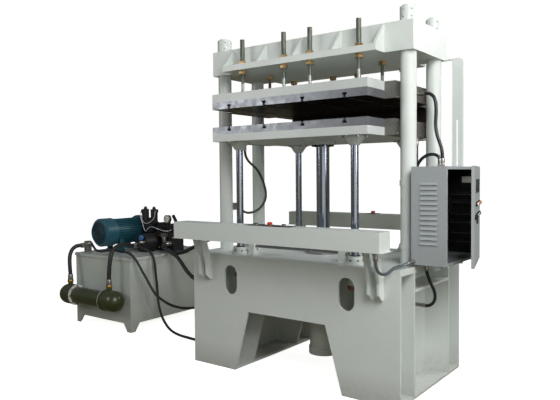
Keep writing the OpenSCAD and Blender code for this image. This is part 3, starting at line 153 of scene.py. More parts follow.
@dataclass(frozen=True)
class Finish:
    """A surface finish with clouded colour, uneven gloss and a fine grain.

    Attributes:
        name: What the finish is.
        colour: Main colour, sRGB hex.
        clouded: Colour that its clouds drift to, sRGB hex.
        roughness: Mean roughness.
        spread: How far the roughness drifts either way.
        metallic: 0 for paint, plastic and rubber, 1 for bare metal.
        cloud_mm: Size of the colour clouds.
        grain_mm: Size of the grain.
        bump_mm: Depth of the grain.
        grain: Direction of the grain.
        coat: Weight of a clear gloss on top.
        glow: Strength of its own light, for lit paper.
        slot: The record's material slot of the pieces that are added in it; not used.
    """

    name: str
    colour: str
    clouded: str
    roughness: float
    spread: float
    metallic: float
    cloud_mm: float
    grain_mm: float
    bump_mm: float
    grain: Grain = Grain.EVEN
    coat: float = 0.0
    glow: float = 0.0
    slot: str = ""

    def material(self) -> bpy.types.Material:
        """Gives the finish's material, made at the first call."""
        known = bpy.data.materials.get(self.name)
        return known if known else self._make()

    def _make(self) -> bpy.types.Material:
        """Builds the finish's nodes and gives the new material."""
        made = bpy.data.materials.new(self.name)
        made.use_nodes = True
        tree = made.node_tree
        tree.nodes.clear()
        place = add_node(tree, "ShaderNodeTexCoord")
        drawn = add_node(tree, "ShaderNodeMapping", {"Scale": self.grain.value}, {"Vector": place.outputs["Object"]})
        clouds = add_node(tree, "ShaderNodeTexNoise",
                          {"Scale": per_metre(self.cloud_mm), "Detail": 5.0, "Roughness": 0.6},
                          {"Vector": place.outputs["Object"]})
        tint = mix(tree, clouds.outputs["Fac"], self.colour, self.clouded)
        gloss = add_node(tree, "ShaderNodeMapRange",
                         {"From Min": 0.3, "From Max": 0.7,
                          "To Min": self.roughness - self.spread, "To Max": self.roughness + self.spread},
                         {"Value": clouds.outputs["Fac"]})
        bump = add_node(tree, "ShaderNodeBump", {"Distance": self.bump_mm / 1000.0},
                        {"Height": self.relief(tree, drawn.outputs["Vector"])})
        shader = add_node(tree, "ShaderNodeBsdfPrincipled",
                          {"Metallic": self.metallic, "Coat Weight": self.coat,
                           "Emission Color": linear(self.colour), "Emission Strength": self.glow},
                          {"Base Color": self.toned(tree, place, tint),
                           "Roughness": gloss.outputs["Result"], "Normal": bump.outputs["Normal"]})
        add_node(tree, "ShaderNodeOutputMaterial", {}, {"Surface": shader.outputs["BSDF"]})
        return made

    def relief(self, tree: Tree, place: Socket) -> Socket:
        """Draws the grain's height.

        Args:
            tree: The material's tree.
            place: Object coordinates stretched along the grain.

        Returns:
            The height.
        """
        return add_node(tree, "ShaderNodeTexNoise",
                        {"Scale": per_metre(self.grain_mm), "Detail": 3.0}, {"Vector": place}).outputs["Fac"]

    def toned(self, tree: Tree, place: bpy.types.Node, tint: Socket) -> Socket:
        """Tones the colour by soil, by painted shade on level faces, or by a brighter shank, in the subclasses; a plain
        finish leaves it as it is.

        Args:
            tree: The material's tree.
            place: The texture coordinate node.
            tint: The clouded colour.

        Returns:
            The toned colour.
        """
        return tint


@dataclass(frozen=True)
class SoiledFinish(Finish):
    """Paint that dust and oil have dulled close to the floor.

    Attributes:
        soil: Colour of the dust, sRGB hex.
        soil_top: Height in metres at which the dust ends.
        spot_mm: Size of the dust's spots.
    """

    soil: str = "#8D8B82"
    soil_top: float = 0.22
    spot_mm: float = 45.0

    def toned(self, tree: Tree, place: bpy.types.Node, tint: Socket) -> Socket:
        """Lays dust over the lowest part of the paint, see Finish.toned."""
        height = add_node(tree, "ShaderNodeSeparateXYZ", {}, {"Vector": place.outputs["Object"]})
        spots = add_node(tree, "ShaderNodeTexNoise",
                         {"Scale": per_metre(self.spot_mm), "Detail": 6.0, "Roughness": 0.7},
                         {"Vector": place.outputs["Object"]})
        depth = add_node(tree, "ShaderNodeMapRange", {"From Min": self.soil_top, "From Max": 0.0, "To Max": 0.8},
                         {"Value": height.outputs["Z"]})
        share = add_node(tree, "ShaderNodeMath", {"operation": "MULTIPLY"},
                         {0: depth.outputs["Result"], 1: spots.outputs["Fac"]})
        return mix(tree, share.outputs["Value"], tint, self.soil)


@dataclass(frozen=True)
class LevelShadedFinish(Finish):
    """Ground steel whose faces that look up or down are painted dark brown: painted shade, which darkens the
    undersides.

    Attributes:
        painted_level_shade: Colour of the painted shade on the level faces, sRGB hex.
    """

    painted_level_shade: str = "#4B443D"

    def toned(self, tree: Tree, place: bpy.types.Node, tint: Socket) -> Socket:
        """Paints shade on the faces that look up or down, darkening them to brown, see Finish.toned."""
        # Painted shade: the more a face looks up or down, the more of the dark colour it gets.
        facing = add_node(tree, "ShaderNodeSeparateXYZ", {}, {"Vector": place.outputs["Normal"]})
        level = add_node(tree, "ShaderNodeMath", {"operation": "ABSOLUTE"}, {0: facing.outputs["Z"]})
        return mix(tree, level.outputs["Value"], tint, self.painted_level_shade)


@dataclass(frozen=True)
class ThreadedFinish(Finish):
    """Rod with a rolled thread along Z and a plain shank below it.

    Attributes:
        pitch_mm: Distance between two threads as drawn.
        shank: Colour of the shank, sRGB hex.
        shank_top: Height in metres at which the shank ends.
    """

    pitch_mm: float = 8.0
    shank: str = "#C3CBC7"
    shank_top: float = 2.47

    def relief(self, tree: Tree, place: Socket) -> Socket:
        """Draws the thread as level bands, see Finish.relief."""
        return add_node(tree, "ShaderNodeTexWave",
                        {"wave_type": "BANDS", "bands_direction": "Z", "Scale": bands_per_metre(self.pitch_mm)},
                        {"Vector": place}).outputs["Fac"]

    def toned(self, tree: Tree, place: bpy.types.Node, tint: Socket) -> Socket:
        """Leaves the shank below the thread brighter, see Finish.toned."""
        height = add_node(tree, "ShaderNodeSeparateXYZ", {}, {"Vector": place.outputs["Object"]})
        below = add_node(tree, "ShaderNodeMath", {"operation": "LESS_THAN", 1: self.shank_top},
                         {0: height.outputs["Z"]})
        return mix(tree, below.outputs["Value"], tint, self.shank)


# Sprayed two-pack enamel on the welded frame: satin, pale grey-green, faint orange peel.
# The peel is really 2 mm across and is drawn at 9 mm so that it shows.
MACHINE_ENAMEL = SoiledFinish("pale_machine_enamel", "#DADFDB", "#CDD4CF", 0.40, 0.08, 0.0, 240.0, 9.0, 0.10,
                              coat=0.12, slot="machine_paint")
# The same enamel on the platen backing plates, rolled thicker and cleaner.
PLATE_ENAMEL = Finish("white_plate_enamel", "#CBD0CE", "#BFC5C2", 0.36, 0.06, 0.0, 180.0, 7.0, 0.08, coat=0.15,
                      slot="machine_paint")
# The tank's enamel, a shade greyer and dulled by oil mist.
TANK_ENAMEL = SoiledFinish("oil_misted_tank_enamel", "#BFC5BF", "#AEB5AF", 0.38, 0.10, 0.0, 150.0, 9.0, 0.12, coat=0.15)
# Brushed enamel of the rear bar: the frame's enamel painted darker and olive-grey, painted shade.
SHADED_BAR_ENAMEL = Finish("shaded_rear_bar_enamel", "#B4B9AF", "#A5AAA0", 0.42, 0.08, 0.0, 200.0, 9.0, 0.12, coat=0.1)
# Ground mild steel, bluish on its edges with long grinding lines; its faces that look up or down are painted near-black
# brown as painted shade.
HEATED_STEEL = LevelShadedFinish("ground_heating_steel", "#94979C", "#787B80", 0.36, 0.10, 0.80, 60.0, 3.0, 0.03,
                            Grain.ALONG_X, painted_level_shade="#4A4038")
# Cold rolled sheet covers, dull with a cloudy sheen and drawn along Y; their faces that look up or down are painted
# dark brown as painted shade.
COVER_SHEET = LevelShadedFinish("rolled_cover_sheet", "#8F8D88", "#74726D", 0.42, 0.10, 0.75, 70.0, 4.0, 0.03, Grain.ALONG_Y,
                           painted_level_shade="#3F3934")
# Turned and ground steel on flanges and shafts.
TURNED_STEEL = Finish("turned_steel", "#A9AAAB", "#8D8F90", 0.32, 0.08, 0.95, 40.0, 2.0, 0.02, Grain.ROUND_Z,
                      slot="plate_steel")
# Hard chrome on ground rods: mirror-like, with faint lines along the stroke.
HARD_CHROME = Finish("hard_chrome_plate", "#A6ADBB", "#989FAD", 0.18, 0.03, 1.0, 160.0, 3.0, 0.001, Grain.ALONG_Z)
# Oiled rolled thread, greenish grey. The pitch is really 3 mm and is drawn at 8 mm so that it shows.
ROD_THREAD = ThreadedFinish("oiled_rolled_thread", "#8C9085", "#63675D", 0.40, 0.08, 0.80, 30.0, 3.0, 1.2)
# Yellow-passivated zinc: brassy with green and pink drifts.
YELLOW_ZINC = Finish("yellow_zinc_plate", "#A58A5E", "#8F7650", 0.34, 0.08, 0.9, 60.0, 2.0, 0.02, slot="yellow_zinc")
# Textured polyester powder coat on sheet steel, mid grey.
CABINET_ENAMEL = Finish("grey_powder_coat", "#A2A8A9", "#989E9F", 0.48, 0.05, 0.0, 150.0, 5.0, 0.12)
# Moulded black ABS with a fine spark-eroded grain.
BLACK_ABS = Finish("moulded_black_abs", "#17181A", "#202224", 0.46, 0.06, 0.0, 25.0, 2.0, 0.05, slot="black_plastic")
# A brown-black sheet that stands in for the shade seen through the gap between the platens: painted shade.
SHADE_SHEET = Finish("painted_shade_sheet", "#2B2522", "#37302B", 0.62, 0.08, 0.3, 90.0, 6.0, 0.10, slot="plate_steel")
# White PVC wire.
WIRE_WHITE = Finish("white_wire_pvc", "#E6E4EA", "#D9D7DE", 0.4, 0.05, 0.0, 20.0, 3.0, 0.02, slot="cable_sheath")
# Pale moulded thermoset of switchgear.
PALE_MOULDING = Finish("pale_switchgear_moulding", "#D9D8D0", "#CBCAC1", 0.45, 0.05, 0.0, 30.0, 3.0, 0.04,
                       slot="black_plastic")
# Grey slotted PVC trunking.
DUCT_PVC = Finish("grey_duct_pvc", "#7F8587", "#757B7D", 0.5, 0.05, 0.0, 30.0, 3.0, 0.04, slot="cabinet_paint")
# Glossy red moulded nylon of emergency stops.
RED_NYLON = Finish("gloss_red_nylon", "#D2302A", "#BE2621", 0.26, 0.05, 0.0, 20.0, 2.0, 0.03, coat=0.3)
# Hammered blue-green enamel over cast aluminium.
MOTOR_ENAMEL = Finish("blue_motor_enamel", "#2A5F6E", "#1D4855", 0.34, 0.07, 0.0, 45.0, 6.0, 0.25, coat=0.2,
                      slot="motor_paint")
# Phosphated cast iron of pumps and valves, oily black.
BLACK_IRON = Finish("phosphated_cast_iron", "#1B1C1D", "#2C2D2D", 0.44, 0.10, 0.35, 20.0, 4.0, 0.25,
                    slot="black_iron")
# Olive brushed enamel on the cooler's shell.
COOLER_ENAMEL = Finish("olive_cooler_enamel", "#394020", "#2C3218", 0.36, 0.08, 0.0, 60.0, 7.0, 0.18, coat=0.2)
# Bright zinc-plated steel of hydraulic fittings and glands.
FITTING_ZINC = Finish("bright_zinc_fittings", "#B9B8B2", "#9E9D97", 0.30, 0.07, 0.92, 16.0, 2.0, 0.02,
                      slot="fitting_steel")
# Machined brass.
BRASS = Finish("machined_brass", "#B5934A", "#9C7D3C", 0.28, 0.07, 1.0, 15.0, 2.0, 0.02, slot="fitting_steel")
# Cast bronze of the guide bushes, orange-brown and oily.
BRONZE = Finish("cast_bush_bronze", "#A8785A", "#8E5F44", 0.36, 0.08, 0.8, 20.0, 3.0, 0.04, slot="plate_steel")
# Wrapped hydraulic rubber hose, matt with a cloth print.
HOSE_RUBBER = Finish("wrapped_hose_rubber", "#191A1B", "#242627", 0.56, 0.08, 0.0, 30.0, 3.0, 0.20,
                     slot="hose_rubber")
# Smooth black PVC cable sheath.
CABLE_PVC = Finish("black_sheath_pvc", "#17181B", "#212328", 0.38, 0.06, 0.0, 40.0, 5.0, 0.05, coat=0.1,
                   slot="cable_sheath")
# Grey-green PVC cable sheath, dulled by heat.
CABLE_GREY = Finish("grey_green_sheath_pvc", "#4A5048", "#3E433C", 0.44, 0.06, 0.0, 40.0, 5.0, 0.05,
                    slot="cable_sheath")
# Wound galvanised conduit, blue-grey.
CONDUIT_ZINC = Finish("wound_zinc_conduit", "#8C949B", "#6F777E", 0.36, 0.08, 0.75, 12.0, 2.0, 0.05,
                      slot="cable_sheath")
# Cut gasket board.
GASKET_BOARD = Finish("cut_gasket_board", "#D6D6D0", "#C8C8C1", 0.7, 0.05, 0.0, 12.0, 2.0, 0.08, slot="fitting_steel")
# Printed white dial under a clear lens.
DIAL_WHITE = Finish("white_dial_enamel", "#ECEAE0", "#E2DFD4", 0.3, 0.03, 0.0, 20.0, 3.0, 0.01, coat=0.5,
                    slot="fitting_steel")
# Dark smoked window of a meter.
SMOKED_PANE = Finish("smoked_meter_pane", "#14191C", "#1B2226", 0.12, 0.02, 0.0, 30.0, 5.0, 0.01, coat=0.6,
                     slot="black_plastic")
# Blue polyethylene plug.
BLUE_CAP = Finish("blue_polythene_cap", "#3C6FA6", "#356393", 0.4, 0.05, 0.0, 15.0, 2.0, 0.03, slot="motor_paint")
# Clear polycarbonate lamp lenses over coloured filters.
LENS_ORANGE = Finish("orange_lamp_lens", "#E08A1E", "#D47A12", 0.16, 0.03, 0.0, 12.0, 2.0, 0.02, coat=0.6,
                     slot="red_plastic")
LENS_GREEN = Finish("green_lamp_lens", "#2E8B4F", "#267A44", 0.16, 0.03, 0.0, 12.0, 2.0, 0.02, coat=0.6,
                    slot="red_plastic")
LENS_RED = Finish("red_lamp_lens", "#B5231C", "#9F1B15", 0.16, 0.03, 0.0, 12.0, 2.0, 0.02, coat=0.6,
                  slot="red_plastic")
LENS_WHITE = Finish("white_lamp_lens", "#E4E2D8", "#D6D4C9", 0.18, 0.03, 0.0, 12.0, 2.0, 0.02, coat=0.6,
                    slot="red_plastic")
# White seamless paper of the studio, lit from behind so that shadows on it stay faint.
LIT_PAPER = Finish("lit_studio_paper", "#FBFBFA", "#F8F8F7", 0.9, 0.02, 0.0, 3000.0, 60.0, 0.01, glow=0.92)


def seat(point: Point, axis: Point = UP) -> Matrix:
    """Gives the place of a piece that was modelled standing on the origin.

    Args:
        point: Where its foot goes.
        axis: The way that it points.

    Returns:
        The place as a matrix.
    """
    return Matrix.Translation(point) @ Vector(UP).rotation_difference(Vector(axis)).to_matrix().to_4x4()


def on_circle(centre: Point, radius: float, count: int, axis: Point = UP, start: float = 0.0) -> List[Matrix]:
    """Spaces places evenly round a circle.

    Args:
        centre: The circle's middle.
        radius: Its radius.
        count: How many places.
        axis: The way that the pieces point, square to the circle.
        start: Angle of the first place, in radians.

    Returns:
        The places.
    """
    turns = [start + 2.0 * math.pi * i / count for i in range(count)]
    spots = [Vector((radius * math.cos(a), radius * math.sin(a), 0.0)) for a in turns]
    return [seat(centre, axis) @ Matrix.Translation(spot) for spot in spots]


class Bench:
    """Operator recipes that the sub-assemblies share."""

    @staticmethod
    def select(*pieces: Piece) -> None:
        """Selects these pieces alone, the first as the active one, or nothing."""
        bpy.ops.object.select_all(action="DESELECT")
        for piece in reversed(pieces):
            piece.select_set(True)
            bpy.context.view_layer.objects.active = piece

    @staticmethod
    def edit(piece: Piece) -> None:
        """Opens a piece in edit mode with all of it selected."""
        Bench.select(piece)
        bpy.ops.object.mode_set(mode="EDIT")
        bpy.ops.mesh.select_all(action="SELECT")

    @staticmethod
    def close() -> None:
        """Merges doubles, turns all faces outwards and leaves edit mode."""
        bpy.ops.mesh.select_all(action="SELECT")
        bpy.ops.mesh.remove_doubles(threshold=1e-6)
        bpy.ops.mesh.normals_make_consistent(inside=False)
        bpy.ops.object.mode_set(mode="OBJECT")

    @staticmethod
    def take(name: str, scale: Sequence[float] = (1.0, 1.0, 1.0)) -> Piece:
        """Names and sizes the primitive that was just added.

        Args:
            name: The piece's name.
            scale: Its size along X, Y and Z.

        Returns:
            The settled piece.
        """
        piece = bpy.context.active_object
        piece.name = name
        piece.scale = scale
        return Bench.settle(piece)

    @staticmethod
    def turned(name: str, outline: Outline, segments: int = 32) -> Piece:
        """Turns a solid up from a disc, ring by ring, as on a lathe.

        Args:
            name: The piece's name.
            outline: Radius and height of each ring, from the foot.
            segments: Sides of the round.

        Returns:
            The piece, standing along +Z on the origin.
        """
        radius, height = outline[0]
        bpy.ops.mesh.primitive_circle_add(vertices=segments, radius=radius, fill_type="NGON",
                                          location=(0.0, 0.0, height))
        piece = Bench.take(name)
        Bench.edit(piece)
        for wide, high in outline[1:]:
            bpy.ops.mesh.extrude_region_move(TRANSFORM_OT_translate={"value": (0.0, 0.0, high - height)})
            share = wide / radius
            bpy.ops.transform.resize(value=(share, share, 1.0), center_override=(0.0, 0.0, high))
            radius, height = wide, high
        Bench.close()
        return piece

    @staticmethod
    def ring(name: str, inner: float, outer: float, low: float, high: float, chamfer: float = 0.001,
             steps: int = 40) -> Piece:
        """Spins a chamfered section about +Z into a ring.

        Args:
            name: The piece's name.
            inner: Inner radius.
            outer: Outer radius.
            low: Lower level.
            high: Upper level.
            chamfer: Size of the broken corners.
            steps: Sides of the round.

        Returns:
            The ring round +Z.
        """
        bpy.ops.mesh.primitive_plane_add(size=1.0, location=((inner + outer) / 2, 0.0, (low + high) / 2),
                                         rotation=(math.pi / 2, 0.0, 0.0))
        piece = Bench.take(name, (outer - inner, high - low, 1.0))
        Bench.edit(piece)
        bpy.ops.mesh.bevel(offset=chamfer, segments=2, affect="VERTICES")
        bpy.ops.mesh.delete(type="ONLY_FACE")
        bpy.ops.mesh.select_all(action="SELECT")
        bpy.ops.mesh.spin(steps=steps, angle=2.0 * math.pi, center=(0.0, 0.0, 0.0), axis=UP)
        Bench.close()
        return piece

    @staticmethod
    def block(name: str, low: Point, high: Point, bevel: float = 0.002, segments: int = 2) -> Piece:
        """Makes a block with rounded edges between two corners.

        Args:
            name: The piece's name.
            low: Lowest corner.
            high: Highest corner.
            bevel: Width of the rounded edges.
            segments: Facets across each edge.

        Returns:
            The block.
        """
        bpy.ops.mesh.primitive_cube_add(size=1.0, location=[(a + b) / 2 for a, b in zip(low, high)])
        piece = Bench.take(name, [b - a for a, b in zip(low, high)])
        Bench.edit(piece)
        bpy.ops.mesh.bevel(offset=bevel, segments=segments, affect="EDGES")
        Bench.close()
        return piece

    @staticmethod
    def tube(name: str, line: Sequence[Point], radius: float, ribs: float = 1.0) -> Piece:
        """Sweeps a round tube along a line.

        Args:
            name: The piece's name.
            line: Points of its middle line, close together.
            radius: Outer radius.
            ribs: Share of the radius at every second point, below 1 for a ribbed tube.

        Returns:
            The tube as a mesh with closed ends.
        """
        curve = bpy.data.curves.new(name, "CURVE")
        curve.dimensions = "3D"
        curve.bevel_depth = radius
        curve.bevel_resolution = 3
        curve.use_fill_caps = True
        spline = curve.splines.new("POLY")
        spline.points.add(len(line) - 1)
        for i, (spot, place) in enumerate(zip(spline.points, line)):
            spot.co = (*place, 1.0)
            spot.radius = ribs if i % 2 else 1.0
        piece = bpy.data.objects.new(name, curve)
        bpy.context.scene.collection.objects.link(piece)
        Bench.select(piece)
        bpy.ops.object.convert(target="MESH")
        Bench.edit(piece)
        Bench.close()
        return piece

    @staticmethod
    def settle(piece: Piece, place: Matrix = Matrix.Identity(4)) -> Piece:
        """Moves a piece to its place and puts the place in its mesh.

        Args:
            piece: The piece.
            place: Where it goes from where it is.

        Returns:
            The same piece, with its object at the origin.
        """
        bpy.context.view_layer.update()
        piece.matrix_world = place @ piece.matrix_world
        Bench.select(piece)
        bpy.ops.object.transform_apply(location=True, rotation=True, scale=True)
        return piece

    @staticmethod
    def join(name: str, pieces: Sequence[Piece]) -> Piece:
        """Joins settled pieces into one.

        Args:
            name: The name of the whole.
            pieces: What is joined.

        Returns:
            The whole.
        """
        Bench.select(*pieces)
        bpy.ops.object.join()
        pieces[0].name = name
        return pieces[0]

    @staticmethod
    def repeat(name: str, pattern: Piece, places: Iterable[Matrix]) -> Piece:
        """Copies a modelled pattern to each place, each copy with its own mesh, and joins the copies.

        Args:
            name: The name of the whole.
            pattern: The piece to copy; it is used up.
            places: Where the copies go.

        Returns:
            The whole.
        """
        copies = []
        for place in places:
            copy = pattern.copy()
            copy.data = pattern.data.copy()
            bpy.context.scene.collection.objects.link(copy)
            copies.append(Bench.settle(copy, place))
        bpy.data.objects.remove(pattern)
        return Bench.join(name, copies)


def coat(piece: Piece, finish: Finish, crease: float = 35.0) -> None:
    """Gives a new piece its finish and smooth shading.

    Args:
        piece: The settled piece.
        finish: Its finish.
        crease: Angle in degrees from which an edge stays sharp.
    """
    piece.data.materials.clear()
    piece.data.materials.append(finish.material())
    Bench.select(piece)
    bpy.ops.object.shade_smooth_by_angle(angle=math.radians(crease))


def fit(piece: Piece, finish: Finish, body: str = "frame") -> Piece:
    """Finishes a new piece and hangs it on a body.

    Args:
        piece: The settled piece.
        finish: Its finish.
        body: The body that it moves with.

    Returns:
        The same piece.
    """
    coat(piece, finish)
    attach(piece, body)
    log.info("%s: %d faces, on %s", piece.name, len(piece.data.polygons), body)
    return piece


def scaled(outline: Outline, radius: float, height: float) -> List[Tuple[float, float]]:
    """Sizes an outline that is given in shares of a radius and of a height."""
    return [(wide * radius, high * height) for wide, high in outline]


class Head(Enum):
    """Heads of screws and nuts: outline in shares of radius and height, and number of sides."""

    SOCKET_CAP = (((1.0, 0.0), (1.0, 0.85), (0.92, 1.0), (0.55, 1.0), (0.52, 0.45)), 16)
    HEXAGON = (((1.0, 0.1), (1.0, 0.86), (0.86, 1.0)), 6)
    WASHER = (((1.12, 0.0), (1.12, 0.08), (1.05, 0.12)), 20)
    PAN = (((1.0, 0.0), (1.0, 0.35), (0.86, 0.75), (0.5, 1.0), (0.3, 1.0), (0.26, 0.5)), 14)

    def model(self, radius: float, height: float) -> Piece:
        """Models one head that stands on the origin, a hexagon with its washer."""
        outline, sides = self.value
        head = Bench.turned("head", scaled(outline, radius, height), sides)
        if self is Head.HEXAGON:
            return Bench.join("head", [head, Head.WASHER.model(radius, height)])
        return head

    def put(self, name: str, size: Tuple[float, float], places: Iterable[Matrix], finish: Finish,
            body: str = "frame") -> None:
        """Puts a head at each place.

        Args:
            name: The name of the whole.
            size: Radius and height of a head.
            places: Where the heads stand.
            finish: Their finish.
            body: The body that they move with.
        """
        fit(Bench.repeat(name, self.model(*size), places), finish, body)


@dataclass(frozen=True)
class Softbox:
    """An area light that looks at a target.

    Attributes:
        name: Its name.
        place: Where it hangs.
        target: What it looks at.
        width: Its width.
        height: Its height.
        power: Its power in watts.
    """

    name: str
    place: Point
    target: Point
    width: float
    height: float
    power: float

    def hang(self) -> None:
        """Adds the light to the scene."""
        lamp = bpy.data.lights.new(self.name, "AREA")
        lamp.shape = "RECTANGLE"
        lamp.size = self.width
        lamp.size_y = self.height
        lamp.energy = self.power
        box = bpy.data.objects.new(self.name, lamp)
        bpy.context.scene.collection.objects.link(box)
        ahead = Vector(self.target) - Vector(self.place)
        box.matrix_world = Matrix.Translation(self.place) @ ahead.to_track_quat("-Z", "Y").to_matrix().to_4x4()


@dataclass(frozen=True)
class Studio:
    """Camera, light and floor.

    Attributes:
        eye: Where the camera stands.
        yaw: Turn of its sight line to the left of +Y, in radians.
        pitch: Rise of the sight line.
        roll: Tilt of the picture.
        lens_mm: Focal length.
        sensor_mm: Width of the sensor.
        softboxes: The lights.
        fill: Strength of the light from all round.
        fill_low: Its colour from below, sRGB hex.
        fill_high: Its colour from above, sRGB hex.
    """

    eye: Point = (2.8186, -4.4375, 1.658)
    yaw: float = 0.6377
    pitch: float = -0.0393
    roll: float = -0.0084
    lens_mm: float = 38.52
    sensor_mm: float = 36.0
    softboxes: Tuple[Softbox, ...] = (
        Softbox("key_softbox", (4.4, -3.4, 4.8), (-0.3, 0.0, 1.6), 2.8, 2.8, 295.0),
        Softbox("right_softbox", (6.0, -0.8, 2.6), (-0.6, 0.2, 1.3), 1.6, 1.6, 56.0),
        Softbox("back_softbox", (3.4, 3.6, 4.4), (-1.6, 0.5, 0.9), 2.0, 2.0, 110.0),
        Softbox("left_softbox", (-4.6, -5.4, 3.4), (-1.2, 0.0, 1.2), 2.4, 2.4, 74.0),
        Softbox("chrome_panel", (5.1, -4.05, 1.7), (0.0, 0.0, 1.6), 7.5, 3.0, 58.0))
    fill: float = 0.17
    fill_low: str = "#D6CDA4"
    fill_high: str = "#F4F7FF"

    def build(self) -> None:
        """Sets up the camera, the lights, the floor and the wall behind it."""
        bpy.context.scene.view_settings.view_transform = "Standard"
        self._camera()
        self._sky()
        for softbox in self.softboxes:
            softbox.hang()
        bpy.ops.mesh.primitive_plane_add(size=80.0, location=(0.0, 0.0, -0.0005))
        self._paper("studio_floor", True)
        bpy.ops.mesh.primitive_cylinder_add(vertices=64, radius=38.0, depth=60.0, end_fill_type="NOTHING",
                                            location=(0.0, 0.0, 25.0))
        self._paper("studio_backdrop", False)

    def _camera(self) -> None:
        """Places the camera at the photograph's angle."""
        ahead = Vector((-math.sin(self.yaw) * math.cos(self.pitch), math.cos(self.yaw) * math.cos(self.pitch),
                        math.sin(self.pitch)))
        level = Vector((math.cos(self.yaw), math.sin(self.yaw), 0.0))
        rise = level.cross(ahead)
        right = math.cos(self.roll) * level + math.sin(self.roll) * rise
        up = -math.sin(self.roll) * level + math.cos(self.roll) * rise
        lens = bpy.data.cameras.new("studio_camera")
        lens.sensor_fit = "HORIZONTAL"
        lens.sensor_width = self.sensor_mm
        lens.lens = self.lens_mm
        lens.clip_end = 200.0
        camera = bpy.data.objects.new("studio_camera", lens)
        bpy.context.scene.collection.objects.link(camera)
        turn = Matrix((right, up, -ahead)).transposed()
        camera.matrix_world = Matrix.Translation(self.eye) @ turn.to_4x4()
        bpy.context.scene.camera = camera

    def _sky(self) -> None:
        """Fills the shadows with weak light, pale from above and olive from below."""
        world = bpy.data.worlds.new("studio_fill")
        world.use_nodes = True
        tree = world.node_tree
        tree.nodes.clear()
        way = add_node(tree, "ShaderNodeTexCoord")
        split = add_node(tree, "ShaderNodeSeparateXYZ", {}, {"Vector": way.outputs["Generated"]})
        rise = add_node(tree, "ShaderNodeMapRange", {"From Min": -0.15, "From Max": 0.25},
                        {"Value": split.outputs["Z"]})
        tint = mix(tree, rise.outputs["Result"], self.fill_low, self.fill_high)
        fill = add_node(tree, "ShaderNodeBackground", {"Strength": self.fill}, {"Color": tint})
        add_node(tree, "ShaderNodeOutputWorld", {}, {"Surface": fill.outputs["Background"]})
        bpy.context.scene.world = world

    @staticmethod
    def _paper(name: str, shades: bool) -> None:
        """Makes lit paper of the sheet that was just added; it gives the object no light of its own.

        Args:
            name: The sheet's name.
            shades: Whether it holds light back.
        """
        sheet = Bench.take(name)
        sheet.data.materials.append(LIT_PAPER.material())
        sheet.visible_diffuse = False
        sheet.visible_glossy = False
        sheet.visible_shadow = shades


def metres(point: Point) -> Point:
    """Turns a point in millimetres into metres."""
    x, y, z = point
    return (x / 1000.0, y / 1000.0, z / 1000.0)


def smooth_line(route: Sequence[Point], step: float, fine_steps: int = 12) -> List[Point]:
    """Draws a smooth line through a route's points and spaces it evenly.

    Args:
        route: The route's points, in millimetres.
        step: Rough distance between two points of the line, in metres.
        fine_steps: How finely each leg is drawn before it is spaced.

    Returns:
        Evenly spaced points from the first to the last, in metres.
    """
    spots = [Vector(metres(p)) for p in route]
    ends = [2 * spots[0] - spots[1], *spots, 2 * spots[-1] - spots[-2]]
    fine: List[Vector] = []
    for a, b, c, d in zip(ends, ends[1:], ends[2:], ends[3:]):
        for i in range(fine_steps):
            t = i / fine_steps
            fine.append(0.5 * (2 * b + (c - a) * t + (2 * a - 5 * b + 4 * c - d) * t * t
                               + (3 * b - a - 3 * c + d) * t ** 3))
    fine.append(spots[-1])
    reach = [0.0]
    for a, b in zip(fine, fine[1:]):
        reach.append(reach[-1] + (b - a).length)
    count = max(2, round(reach[-1] / step))
    line, k = [], 0
    for i in range(count + 1):
        goal = reach[-1] * i / count
        while k < len(fine) - 2 and reach[k + 1] < goal:
            k += 1
        share = (goal - reach[k]) / (reach[k + 1] - reach[k])
        line.append(tuple(fine[k].lerp(fine[k + 1], min(1.0, max(0.0, share)))))
    return line


class Stiffness(Enum):
    """How easily a cord bends."""

    LIMP = "limp"
    MEDIUM = "medium"
    STIFF = "stiff"


class Lay(Enum):
    """How a cord lies."""

    LOOSE = "loose"
    HANGING = "hanging"


# Crimped sleeve: outline in shares of the cord's radius and of the sleeve's length.
SLEEVE_OUTLINE = ((1.02, 0.0), (1.30, 0.0), (1.34, 0.06), (1.34, 0.34), (1.22, 0.36), (1.22, 0.42), (1.28, 0.44),
                  (1.28, 0.90), (1.20, 1.0), (1.02, 1.0))


@dataclass(frozen=True)
class Wire:
    """A thin wire between two plugs on the frame.

    Attributes:
        name: Its name.
        route: Points of its middle line, in millimetres.
        diameter: Its outer diameter, in metres.
        finish: Its sheath.
        stiffness: How easily it bends; not used.
        lay: How it lies; not used.
    """

    name: str
    route: Tuple[Point, ...]
    diameter: float
    finish: Finish
    stiffness: Stiffness = Stiffness.LIMP
    lay: Lay = Lay.HANGING

    def build(self) -> None:
        line = smooth_line(self.route, self.diameter)
        self.declare(fit(Bench.tube(self.name, line, self.diameter / 2), self.finish), line, [])

    def declare(self, piece: Piece, line: Sequence[Point], ends: Sequence[Piece]) -> None:
        """Takes the cord, its line and its end pieces, and does nothing with them.

        Args:
            piece: The swept cord; not used.
            line: Its middle line; not used.
            ends: The pieces on its ends; not used.
        """


